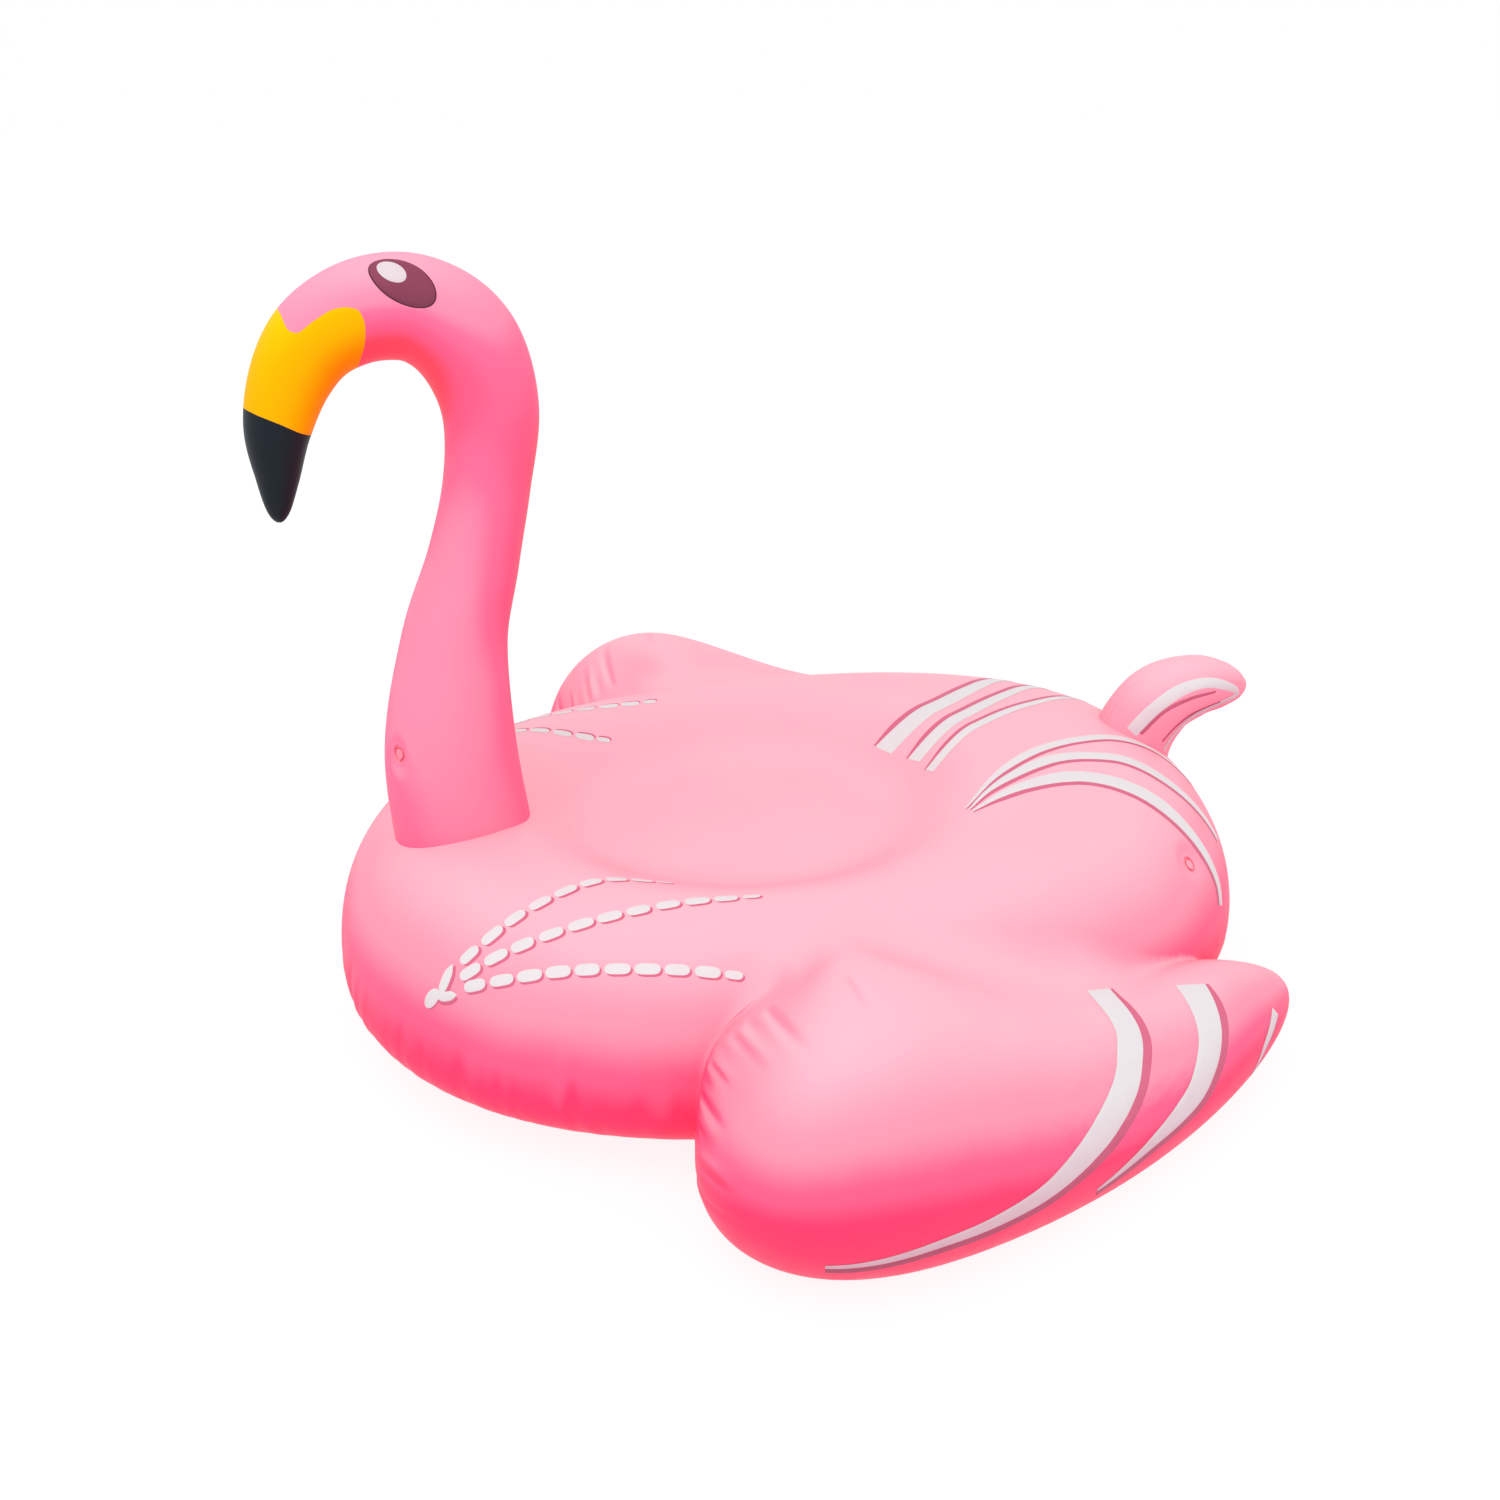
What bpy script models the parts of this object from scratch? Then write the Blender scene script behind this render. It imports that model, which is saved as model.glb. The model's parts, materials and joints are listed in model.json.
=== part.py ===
"""Inflatable flamingo pool float: welded vinyl sheets and two plug valves.

The float rests on the ground plane z = 0, with its origin under the middle of the body.
The bird faces -Y, its tail points to +Y and its left wing is on +X.

Every chamber is a skin of thin sheets. The body and each wing have a top and a bottom
sheet that meet at a low perimeter weld with a turned-out lip. The neck, the beak and the
tail are each a left and a right half, welded along the plane x = 0. The wings, the neck
and the tail stand on the outside of the body, so their sheets end just clear of it.
"""

import math

import bmesh
import bpy
import numpy as np
from mathutils import Matrix, Vector
from mathutils.bvhtree import BVHTree

# Sheet stock and the clearance left between neighbouring solids.
SHEET = 0.0005
GAP = 0.0003

# Body: an oval cushion whose rounded rim is BODY_RIM wide in plan and swells at both ends.
BODY_HALF_WIDTH = 0.471
BODY_HALF_LENGTH = 0.618
BODY_RIM = 0.178
BODY_MIDDLE_HEIGHT = 0.097
BODY_TOP_HEIGHT = 0.280
BODY_END_RISE = 0.010
BODY_SQUARENESS = 0.894
BODY_TURNS = 36
RIM_RINGS = 9
UNDERSIDE_SHARES = (0.4, 0.75, 1.0)

# Perimeter weld of the body and the wings, with its lip turned out and down.
WELD_HEIGHT = 0.020
LIP_LENGTH = 0.007
LIP_DROP = math.radians(35)

# Seat: an oval hollow in the body's top, pulled down by a band inside the body.
SEAT_HALF_WIDTH = 0.215
SEAT_HALF_LENGTH = 0.240
SEAT_CENTRE_Y = -0.068
SEAT_EDGE_HEIGHT = 0.218
SEAT_CROWN = 0.008
SEAT_SLOPE_SHARES = (0.25, 0.5, 0.75, 1.0)
SEAT_FLOOR_SHARES = (0.75, 0.4)
BAND_INSET = 0.004
BAND_CLEARANCE = 0.0015
BAND_VENT_EVERY = 4
BAND_VENT_SHARES = (0.35, 0.65)

# Trimming tool for whatever stands on the body: it starts low on the rim and runs below ground.
ENVELOPE_START_RISE = math.radians(-40)
ENVELOPE_FOOT = -0.05

# Wings: ellipses swept along a bent spine, from the shoulder to the swept-back tip.
WING_SHOULDER = (0.458, -0.210, 0.170)
WING_BEND = (0.570, -0.045, 0.066)
WING_TIP = (0.378, 0.543, 0.078)
WING_HALF_WIDTH = 0.226
WING_HALF_HEIGHT = 0.200
WING_WIDTH_TAPER = 0.66
WING_HEIGHT_TAPER = 0.50
WING_END_BLUNTNESS = 3.8
WING_END_SPREAD = 0.65
WING_TURNS = 24
WING_TOP_SHARES = (0.18, 0.36, 0.54, 0.72, 0.88)
WING_BOTTOM_SHARES = (0.5, 1.0)
WING_SEARCH_RISES = (math.radians(-89), math.radians(30))

# Neck and head: (y, z, radius) of round sections along the centre line.
NECK_SECTIONS = (
    (-0.442, 0.225, 0.088),
    (-0.450, 0.370, 0.082),
    (-0.433, 0.515, 0.064),
    (-0.402, 0.617, 0.054),
    (-0.378, 0.711, 0.0505),
    (-0.368, 0.797, 0.0555),
    (-0.390, 0.868, 0.0625),
    (-0.436, 0.906, 0.0615),
    (-0.490, 0.909, 0.059),
    (-0.542, 0.884, 0.054),
    (-0.578, 0.843, 0.0475),
    (-0.602, 0.788, 0.039),
    (-0.610, 0.731, 0.0265),
    (-0.613, 0.695, 0.013),
    (-0.614, 0.680, 0.0),
)
HEAD_END_SECTION = 9
BEAK_END_SECTION = 11
NECK_RINGS = 20
BEAK_RINGS = 4
BEAK_TIP_RINGS = 5
NECK_SIDES = 8

# Tail: (y, z, radius) of a horn that leaves the rear of the body and curls back.
TAIL_SECTIONS = (
    (0.505, 0.190, 0.082),
    (0.522, 0.270, 0.068),
    (0.552, 0.322, 0.056),
    (0.600, 0.341, 0.047),
    (0.645, 0.338, 0.036),
    (0.677, 0.330, 0.020),
    (0.688, 0.325, 0.0),
)
TAIL_RINGS = 7
TAIL_SIDES = 6

# Samples between two sections of a centre line, and the reach that gives its direction.
CENTRE_LINE_STEPS = 24
DIRECTION_REACH = 0.002

# Air ports in the body's top sheet, under each wing and under the tail.
WING_PORT = (0.100, 0.130)
WING_PORT_RADIUS = 0.012
TAIL_PORT_Y = 0.535
TAIL_PORT_RADIUS = 0.008

# Plug valves, in their own frame: +Z out of the sheet, z = 0 on the sheet's outer face.
NECK_VALVE_HEIGHT = 0.395
NECK_VALVE_TURN = math.radians(33.75)
BODY_VALVE_TURN = math.radians(50)
BODY_VALVE_RISE = math.radians(45.5)
VALVE_SIDES = 16
HOLE_RADIUS = 0.0110
RIM_RADIUS = 0.0107
DISH_RADIUS = 0.0099
FLANGE_RADIUS = 0.0140
FLANGE_TOP = -(SHEET + 0.0006)
FLANGE_BOTTOM = FLANGE_TOP - 0.0010
DISH_FLOOR = -0.0026
DISH_UNDERSIDE = -0.0036
STEM_RADIUS = 0.0060
STEM_BORE = 0.0043
STEM_TOP = -0.0018
STEM_BOTTOM = -0.0160
COLLAR_RADIUS = 0.0072
COLLAR_TOP = -0.0140
CAP_RADIUS = 0.0066
CAP_THICKNESS = 0.0015
PLUG_TOP_RADIUS = 0.0040
PLUG_END_RADIUS = 0.0033
PLUG_END = -0.0045
CAP_HINGE = (0.0078, 0.0, -0.00075)
FLAP_RADIUS = 0.0052
FLAP_THICKNESS = 0.0008
FLAP_TOP = STEM_BOTTOM - GAP
FLAP_HINGE = (FLAP_RADIUS, 0.0, FLAP_TOP - FLAP_THICKNESS / 2)
# Opposite corners of the lug that holds the cap, the post that holds the flap, the cap's tongue.
CAP_LUG = ((0.0050, -0.0015, DISH_FLOOR + GAP), (0.0084, 0.0015, STEM_TOP - 0.00005))
FLAP_POST = ((0.0059, -0.0015, FLAP_TOP - FLAP_THICKNESS), (0.0070, 0.0015, STEM_BOTTOM + 0.0005))
CAP_TONGUE = ((0.0055, -0.0012, -0.0013), (CAP_HINGE[0] + 0.0005, 0.0012, -0.0002))
HOLE_CUTTER_LENGTH = 0.02
SEARCH_DISTANCE = 0.5

CREASE_ANGLE = math.radians(40)
SLIVER = 0.0001
TINY = 1e-12

PINK = (0.93, 0.42, 0.52, 1.0)
DEEP_PINK = (0.90, 0.27, 0.40, 1.0)
YELLOW = (0.98, 0.66, 0.05, 1.0)
BLACK = (0.02, 0.03, 0.04, 1.0)
CLEAR_WHITE = (0.86, 0.80, 0.82, 1.0)


# ---------------------------------------------------------------- objects and materials


def clear_scene():
    for old in list(bpy.data.objects):
        bpy.data.objects.remove(old, do_unlink=True)


def finish(name, colour, roughness):
    """A vinyl or soft-moulded plastic finish."""
    material = bpy.data.materials.new(name)
    material.use_nodes = True
    surface = material.node_tree.nodes["Principled BSDF"]
    surface.inputs["Base Color"].default_value = colour
    surface.inputs["Roughness"].default_value = roughness
    surface.inputs["Metallic"].default_value = 0.0
    return material


def add_object(name, mesh_data, material=None, parent=None):
    """Puts a bmesh into the scene as a smooth-shaded object."""
    mesh = bpy.data.meshes.new(name)
    mesh_data.to_mesh(mesh)
    mesh_data.free()
    mesh.shade_smooth()
    mesh.set_sharp_from_angle(angle=CREASE_ANGLE)
    made = bpy.data.objects.new(name, mesh)
    bpy.context.scene.collection.objects.link(made)
    if material:
        mesh.materials.append(material)
    made.parent = parent
    return made


def as_cutter(tool):
    tool.hide_render = True
    tool.display_type = "WIRE"
    return tool


def cut(target, tool, operation="DIFFERENCE"):
    boolean = target.modifiers.new(f"{operation.lower()}_{tool.name}", "BOOLEAN")
    boolean.operation = operation
    boolean.object = tool
    boolean.solver = "EXACT"


def close_slivers(sheet):
    """Joins points that the cuts leave almost touching, and splits long facets into triangles."""
    weld = sheet.modifiers.new("sliver_weld", "WELD")
    weld.merge_threshold = SLIVER
    sheet.modifiers.new("facets", "TRIANGULATE")


def rod_cutter(name, centre, direction, radius, length):
    """A hidden round rod, centred on a point, for drilling a hole along a direction."""
    rod = bmesh.new()
    bmesh.ops.create_cone(
        rod, cap_ends=True, segments=VALVE_SIDES, radius1=radius, radius2=radius, depth=length
    )
    turn = Vector(direction).to_track_quat("Z", "Y").to_matrix().to_4x4()
    bmesh.ops.transform(rod, matrix=Matrix.Translation(centre) @ turn, verts=rod.verts)
    return as_cutter(add_object(name, rod))


# ------------------------------------------------------------------------ sheet meshes


def ring_mesh(rings, cyclic, end_point=None, end_cap=False, skip=()):
    """Quads between rings of points; the last ring may close on a point or a flat cap."""
    surface = bmesh.new()
    rows = [[surface.verts.new(point) for point in ring] for ring in rings]
    count = len(rows[0])
    columns = count if cyclic else count - 1
    for row in range(len(rows) - 1):
        for column in range(columns):
            if (row, column) in skip:
                continue
            after = (column + 1) % count
            corners = (rows[row][column], rows[row][after], rows[row + 1][after], rows[row + 1][column])
            surface.faces.new(corners)
    if end_point is not None:
        pole = surface.verts.new(end_point)
        for column in range(columns):
            surface.faces.new((rows[-1][column], rows[-1][(column + 1) % count], pole))
    if end_cap:
        surface.faces.new(rows[-1])
    return surface


def face_away_from(surface, middle):
    """Turns the sheet so that its outer side looks away from the chamber's middle."""
    surface.normal_update()
    outward = sum(
        face.normal.dot(face.calc_center_median() - middle) * face.calc_area() for face in surface.faces
    )
    if outward < 0:
        bmesh.ops.reverse_faces(surface, faces=surface.faces)


def add_sheet(name, surface, middle, material):
    """A sheet whose outer face is the given surface, thickened towards the chamber."""
    face_away_from(surface, Vector(middle))
    bmesh.ops.triangulate(surface, faces=surface.faces, quad_method="FIXED")
    sheet = add_object(name, surface, material)
    thicken = sheet.modifiers.new("sheet_thickness", "SOLIDIFY")
    thicken.thickness = SHEET
    thicken.offset = -1.0
    thicken.use_even_offset = True
    return sheet


def plan_outward(ring):
    """Unit vectors in plan that point out of a closed ring of points."""
    along = np.roll(ring, -1, axis=0) - np.roll(ring, 1, axis=0)
    outward = np.stack([along[:, 1], -along[:, 0], np.zeros(len(ring))], axis=1)
    outward /= np.linalg.norm(outward, axis=1)[:, None]
    if np.sum(outward * (ring - ring.mean(axis=0))) < 0:
        outward = -outward
    return outward


def weld_lip(weld, under):
    """The lip's outer edge and its fold; under is how far it lies below the upper lip."""
    outward = plan_outward(weld)
    down = np.array([0.0, 0.0, -1.0])
    away = outward * math.cos(LIP_DROP) + down * math.sin(LIP_DROP)
    below = (down * math.cos(LIP_DROP) - outward * math.sin(LIP_DROP)) * under
    return weld + away * LIP_LENGTH + below, weld + below


# -------------------------------------------------------------------------------- body


def superellipse(turn):
    """Plan direction of the body's outline, slightly squarer than an ellipse."""
    cosine = np.cos(turn)
    sine = np.sin(turn)
    return np.stack(
        [
            np.sign(cosine) * np.abs(cosine) ** BODY_SQUARENESS,
            np.sign(sine) * np.abs(sine) ** BODY_SQUARENESS,
        ],
        axis=-1,
    )


def body_turns():
    """Directions around the body, set so that no edge runs through the valve."""
    step = 2 * math.pi / BODY_TURNS
    return (np.arange(BODY_TURNS) + 0.5) * step


def body_crest(turn):
    """Plan distances and height of the rim's crest, in one or many directions."""
    half_spans = np.array([BODY_HALF_WIDTH - BODY_RIM, BODY_HALF_LENGTH - BODY_RIM])
    return half_spans, BODY_TOP_HEIGHT + BODY_END_RISE * np.sin(turn) ** 2


def body_ring(rise, grow=0.0):
    """Points around the rounded rim at one angle up its section."""
    half_spans, crest_height = body_crest(body_turns())
    plan = superellipse(body_turns()) * (half_spans + (BODY_RIM + grow) * math.cos(rise))
    swell = crest_height - BODY_MIDDLE_HEIGHT if rise > 0 else BODY_MIDDLE_HEIGHT
    level = BODY_MIDDLE_HEIGHT + (swell + grow) * math.sin(rise)
    return np.column_stack([plan, np.broadcast_to(level, BODY_TURNS)])


def seat_ring(share, height):
    """Points around the seat's oval, at a share of its full size."""
    turns = body_turns()
    x = SEAT_HALF_WIDTH * share * np.cos(turns)
    y = SEAT_CENTRE_Y + SEAT_HALF_LENGTH * share * np.sin(turns)
    return np.column_stack([x, y, np.full(BODY_TURNS, height)])


def weld_rise():
    """Angle up the rim's section at which the perimeter weld lies."""
    return -math.asin((BODY_MIDDLE_HEIGHT - WELD_HEIGHT) / BODY_MIDDLE_HEIGHT)


def rim_rises():
    return np.linspace(weld_rise(), math.pi / 2, RIM_RINGS)


def seat_slope_rings(grow=0.0):
    """Rings from the crest of the rim down to the seat's edge, then over its floor."""
    crest = body_ring(math.pi / 2, grow)
    edge = seat_ring(1.0, SEAT_EDGE_HEIGHT + grow)
    fall = crest[:, 2] - edge[:, 2]
    rings = []
    for share in SEAT_SLOPE_SHARES:
        ring = crest * (1 - share) + edge * share
        ring[:, 2] = edge[:, 2] + fall * math.sin((1 - share) * math.pi / 2)
        rings.append(ring)
    for share in SEAT_FLOOR_SHARES:
        rings.append(seat_ring(share, SEAT_EDGE_HEIGHT + grow + SEAT_CROWN * (1 - share**2)))
    return rings


def seat_middle(grow=0.0):
    return (0.0, SEAT_CENTRE_Y, SEAT_EDGE_HEIGHT + SEAT_CROWN + grow)


def add_body_top(material):
    weld = body_ring(weld_rise())
    edge, fold = weld_lip(weld, 0.0)
    rings = [edge, fold] + [body_ring(rise) for rise in rim_rises()[1:]] + seat_slope_rings()
    surface = ring_mesh(rings, cyclic=True, end_point=seat_middle())
    return add_sheet("body_top_panel", surface, (0.0, 0.0, WELD_HEIGHT), material)


def add_body_bottom(material):
    weld = body_ring(weld_rise())
    edge, fold = weld_lip(weld, 2 * SHEET + GAP)
    rings = [edge, fold]
    for share in UNDERSIDE_SHARES:
        rings.append(body_ring(weld_rise() - share * (weld_rise() + math.pi / 2)))
    surface = ring_mesh(rings, cyclic=True, end_cap=True)
    return add_sheet("body_bottom_panel", surface, (0.0, 0.0, BODY_TOP_HEIGHT), material)


def add_body_envelope():
    """The closed outside of the body, a gap larger, that trims whatever stands on it."""
    rises = [ENVELOPE_START_RISE] + [rise for rise in rim_rises() if rise > ENVELOPE_START_RISE]
    walls = [body_ring(rise, GAP) for rise in rises]
    foot = walls[0].copy()
    foot[:, 2] = ENVELOPE_FOOT
    surface = ring_mesh([foot] + walls + seat_slope_rings(GAP), cyclic=True, end_point=seat_middle(GAP))
    bmesh.ops.holes_fill(surface, edges=surface.edges, sides=BODY_TURNS)
    bmesh.ops.recalc_face_normals(surface, faces=surface.faces)
    return as_cutter(add_object("body_envelope", surface))


def add_seat_band(material):
    """The oval band inside the body that holds the seat down, with vents between chambers."""
    share = 1.0 - BAND_INSET / SEAT_HALF_WIDTH
    top = SEAT_EDGE_HEIGHT - SHEET - BAND_CLEARANCE
    bottom = SHEET + GAP
    levels = [bottom + (top - bottom) * height for height in (0.0, *BAND_VENT_SHARES, 1.0)]
    rings = [seat_ring(share, level) for level in levels]
    vents = {(1, column) for column in range(0, BODY_TURNS, BAND_VENT_EVERY)}
    surface = ring_mesh(rings, cyclic=True, skip=vents)
    return add_sheet("seat_tie_band", surface, (0.0, SEAT_CENTRE_Y, (top + bottom) / 2), material)


# ------------------------------------------------------------------------------- wings


def wing_spine(along):
    """Point, outward side vector and upward vector of the left wing's spine, along 0 to 1."""
    shoulder = np.array(WING_SHOULDER)
    bend = np.array(WING_BEND)
    tip = np.array(WING_TIP)
    point = (1 - along) ** 2 * shoulder + 2 * along * (1 - along) * bend + along**2 * tip
    forward = 2 * (1 - along) * (bend - shoulder) + 2 * along * (tip - bend)
    forward /= np.linalg.norm(forward)
    side = np.cross(forward, (0.0, 0.0, 1.0))
    side /= np.linalg.norm(side)
    return point, side, np.cross(side, forward)


def wing_point(rise, turn):
    """Left wing's surface at a latitude and a longitude; turn 0 is the tip, pi the shoulder."""
    reach = math.cos(rise) * math.cos(turn)
    rest = math.sqrt(max(1 - reach**2, TINY))
    across = math.cos(rise) * math.sin(turn) / rest
    span = math.copysign(abs(reach) ** WING_END_SPREAD, reach)
    upward = math.sin(rise) / rest
    along = (span + 1) / 2
    fullness = math.sqrt(max(1 - abs(span) ** WING_END_BLUNTNESS, 0.0))
    point, side, up = wing_spine(along)
    width = WING_HALF_WIDTH * fullness * (1 - WING_WIDTH_TAPER * along)
    height = WING_HALF_HEIGHT * fullness * (1 - WING_HEIGHT_TAPER * along)
    return point + side * width * across + up * height * upward


def wing_turns():
    return np.arange(WING_TURNS) * 2 * math.pi / WING_TURNS


def wing_rise_at(height, turn):
    """Latitude at which the wing's surface comes down to a height, found by halving."""
    low, high = WING_SEARCH_RISES
    while high - low > TINY:
        middle = (low + high) / 2
        if wing_point(middle, turn)[2] < height:
            low = middle
        else:
            high = middle
    return high


def wing_ring(rises, mirror):
    ring = np.array([wing_point(rise, turn) for rise, turn in zip(rises, wing_turns())])
    return ring * np.array([mirror, 1.0, 1.0])


def add_wing(side_name, mirror, top_material, bottom_material, envelope):
    """Both sheets of one wing; mirror is +1 for the left wing and -1 for the right."""
    weld_rises = np.array([wing_rise_at(WELD_HEIGHT, turn) for turn in wing_turns()])
    ground_rises = np.array([wing_rise_at(0.0, turn) for turn in wing_turns()])
    weld = wing_ring(weld_rises, mirror)
    middle = (mirror * WING_BEND[0], WING_BEND[1], WELD_HEIGHT)

    edge, fold = weld_lip(weld, 0.0)
    rings = [edge, fold]
    for share in WING_TOP_SHARES:
        rings.append(wing_ring(weld_rises + share * (math.pi / 2 - weld_rises), mirror))
    crown = wing_point(math.pi / 2, 0.0) * np.array([mirror, 1.0, 1.0])
    surface = ring_mesh(rings, cyclic=True, end_point=crown)
    top = add_sheet(f"wing_{side_name}_top_panel", surface, middle, top_material)

    edge, fold = weld_lip(weld, 2 * SHEET + GAP)
    rings = [edge, fold]
    for share in WING_BOTTOM_SHARES:
        rings.append(wing_ring(weld_rises + share * (ground_rises - weld_rises), mirror))
    rings[-1][:, 2] = 0.0
    surface = ring_mesh(rings, cyclic=True, end_cap=True)
    above = (middle[0], middle[1], BODY_TOP_HEIGHT)
    bottom = add_sheet(f"wing_{side_name}_bottom_panel", surface, above, bottom_material)

    cut(top, envelope)
    cut(bottom, envelope)


# ---------------------------------------------------------------- neck, beak and tail


class Tube:
    """A round tube in the plane x = 0, through sections of (y, z, radius)."""

    def __init__(self, sections):
        knots = np.array(sections)
        before = 2 * knots[0] - knots[1]
        after = 2 * knots[-1] - knots[-2]
        padded = np.vstack([before, knots, after])
        samples = []
        for first in range(len(knots) - 1):
            for step in range(CENTRE_LINE_STEPS):
                samples.append(self.curve(padded[first : first + 4], step / CENTRE_LINE_STEPS))
        samples.append(knots[-1])
        self.samples = np.array(samples)
        self.samples[:, 2] = np.maximum(self.samples[:, 2], 0.0)
        hops = np.linalg.norm(np.diff(self.samples[:, :2], axis=0), axis=1)
        self.distances = np.concatenate([[0.0], np.cumsum(hops)])
        self.length = self.distances[-1]

    @staticmethod
    def curve(knots, share):
        """A smooth curve between the middle two of four knots."""
        slope_in = (knots[2] - knots[0]) / 2
        slope_out = (knots[3] - knots[1]) / 2
        cube = share**3
        square = share**2
        return (
            (2 * cube - 3 * square + 1) * knots[1]
            + (cube - 2 * square + share) * slope_in
            + (3 * square - 2 * cube) * knots[2]
            + (cube - square) * slope_out
        )

    def distance_of(self, section):
        return self.distances[section * CENTRE_LINE_STEPS]

    def at(self, distance):
        return [np.interp(distance, self.distances, self.samples[:, axis]) for axis in range(3)]

    def half_ring(self, distance, mirror, sides):
        """Half a round section, from the front edge to the back edge, on one side of x = 0."""
        y, z, radius = self.at(distance)
        y_before, z_before, _ = self.at(distance - DIRECTION_REACH)
        y_after, z_after, _ = self.at(distance + DIRECTION_REACH)
        along = np.array([y_after - y_before, z_after - z_before])
        along /= np.linalg.norm(along)
        turns = np.linspace(0.0, math.pi, sides + 1)
        across = radius * np.cos(turns)
        x = mirror * (radius * np.sin(turns) + GAP)
        return np.column_stack([x, y - across * along[1], z + across * along[0]])

    def tip(self, mirror):
        y, z, _ = self.samples[-1]
        return (mirror * GAP, y, z)


def add_tube_half(name, tube, span, rings, sides, mirror, material, closed=False):
    """One half of a stretch of tube; a closed stretch runs out to the tube's tip."""
    shares = np.linspace(0.0, 1.0, rings)
    if closed:
        shares = np.sin(np.linspace(0.0, math.pi / 2, rings + 1))[:-1]
    stops = span[0] + (span[1] - span[0]) * shares
    layers = [tube.half_ring(stop, mirror, sides) for stop in stops]
    surface = ring_mesh(layers, cyclic=False, end_point=tube.tip(mirror) if closed else None)
    middle_y, middle_z = np.mean([tube.at(stop)[:2] for stop in stops], axis=0)
    return add_sheet(name, surface, (0.0, middle_y, middle_z), material)


def add_neck_and_beak(finishes, envelope):
    neck = Tube(NECK_SECTIONS)
    head_end = neck.distance_of(HEAD_END_SECTION)
    beak_end = neck.distance_of(BEAK_END_SECTION)
    neck_span = (0.0, head_end)
    beak_span = (head_end + GAP, beak_end)
    tip_span = (beak_end + GAP, neck.length)
    for side, mirror in (("left", 1), ("right", -1)):
        half = add_tube_half(
            f"neck_{side}_panel", neck, neck_span, NECK_RINGS, NECK_SIDES, mirror, finishes["neck"]
        )
        cut(half, envelope)
        add_tube_half(
            f"beak_{side}_panel", neck, beak_span, BEAK_RINGS, NECK_SIDES, mirror, finishes["beak"]
        )
        tip_name = f"beak_tip_{side}_panel"
        tip_finish = finishes["beak_tip"]
        add_tube_half(tip_name, neck, tip_span, BEAK_TIP_RINGS, NECK_SIDES, mirror, tip_finish, closed=True)
    return neck


def add_tail(material, envelope):
    tail = Tube(TAIL_SECTIONS)
    span = (0.0, tail.length)
    for side, mirror in (("left", 1), ("right", -1)):
        name = f"tail_{side}_panel"
        half = add_tube_half(name, tail, span, TAIL_RINGS, TAIL_SIDES, mirror, material, closed=True)
        cut(half, envelope)


# ------------------------------------------------------------------------------ valves


def revolved(name, profile, material, parent, pivot=(0.0, 0.0, 0.0)):
    """Turns a closed outline of (radius, height) about the valve's axis, around a pivot."""
    solid = bmesh.new()
    columns = []
    poles = {}
    for side in range(VALVE_SIDES):
        turn = (side + 0.5) * 2 * math.pi / VALVE_SIDES
        column = []
        for index, (radius, height) in enumerate(profile):
            if radius == 0 and index in poles:
                column.append(poles[index])
                continue
            place = Vector((radius * math.cos(turn), radius * math.sin(turn), height)) - Vector(pivot)
            vertex = solid.verts.new(place)
            if radius == 0:
                poles[index] = vertex
            column.append(vertex)
        columns.append(column)
    for side in range(VALVE_SIDES):
        here = columns[side]
        there = columns[(side + 1) % VALVE_SIDES]
        for index in range(len(profile)):
            after = (index + 1) % len(profile)
            corners = []
            for vertex in (here[index], there[index], there[after], here[after]):
                if vertex not in corners:
                    corners.append(vertex)
            if len(corners) > 2:
                solid.faces.new(corners)
    bmesh.ops.recalc_face_normals(solid, faces=solid.faces)
    made = add_object(name, solid, material, parent)
    made.location = pivot
    return made


def box_tool(name, corners, parent, pivot=(0.0, 0.0, 0.0)):
    """A hidden box in the valve's frame, for a lug that is joined to a turned piece."""
    low, high = corners
    box = bmesh.new()
    bmesh.ops.create_cube(box, size=1.0)
    size = Vector(high) - Vector(low)
    middle = (Vector(high) + Vector(low)) / 2 - Vector(pivot)
    bmesh.ops.scale(box, vec=size, verts=box.verts)
    bmesh.ops.translate(box, vec=middle, verts=box.verts)
    tool = as_cutter(add_object(name, box, None, parent))
    tool.location = pivot
    return tool


def add_flange(prefix, material, frame):
    """The moulded dish, welded behind the sheet, that the stem slides through."""
    outline = (
        (STEM_RADIUS + GAP, DISH_FLOOR),
        (DISH_RADIUS, DISH_FLOOR),
        (DISH_RADIUS, 0.0),
        (RIM_RADIUS, 0.0),
        (RIM_RADIUS, FLANGE_TOP),
        (FLANGE_RADIUS, FLANGE_TOP),
        (FLANGE_RADIUS, FLANGE_BOTTOM),
        (RIM_RADIUS, FLANGE_BOTTOM),
        (RIM_RADIUS, DISH_UNDERSIDE),
        (STEM_RADIUS + GAP, DISH_UNDERSIDE),
    )
    revolved(f"{prefix}_flange", outline, material, frame)


def add_stem(prefix, material, frame):
    """The tube that is pulled out to blow through, with its stop collar and two lugs."""
    outline = (
        (STEM_BORE, STEM_TOP),
        (STEM_RADIUS, STEM_TOP),
        (STEM_RADIUS, COLLAR_TOP),
        (COLLAR_RADIUS, COLLAR_TOP),
        (COLLAR_RADIUS, STEM_BOTTOM),
        (STEM_BORE, STEM_BOTTOM),
    )
    stem = revolved(f"{prefix}_stem", outline, material, frame)
    cut(stem, box_tool(f"{prefix}_cap_lug", CAP_LUG, frame), "UNION")
    cut(stem, box_tool(f"{prefix}_flap_post", FLAP_POST, frame), "UNION")


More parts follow.
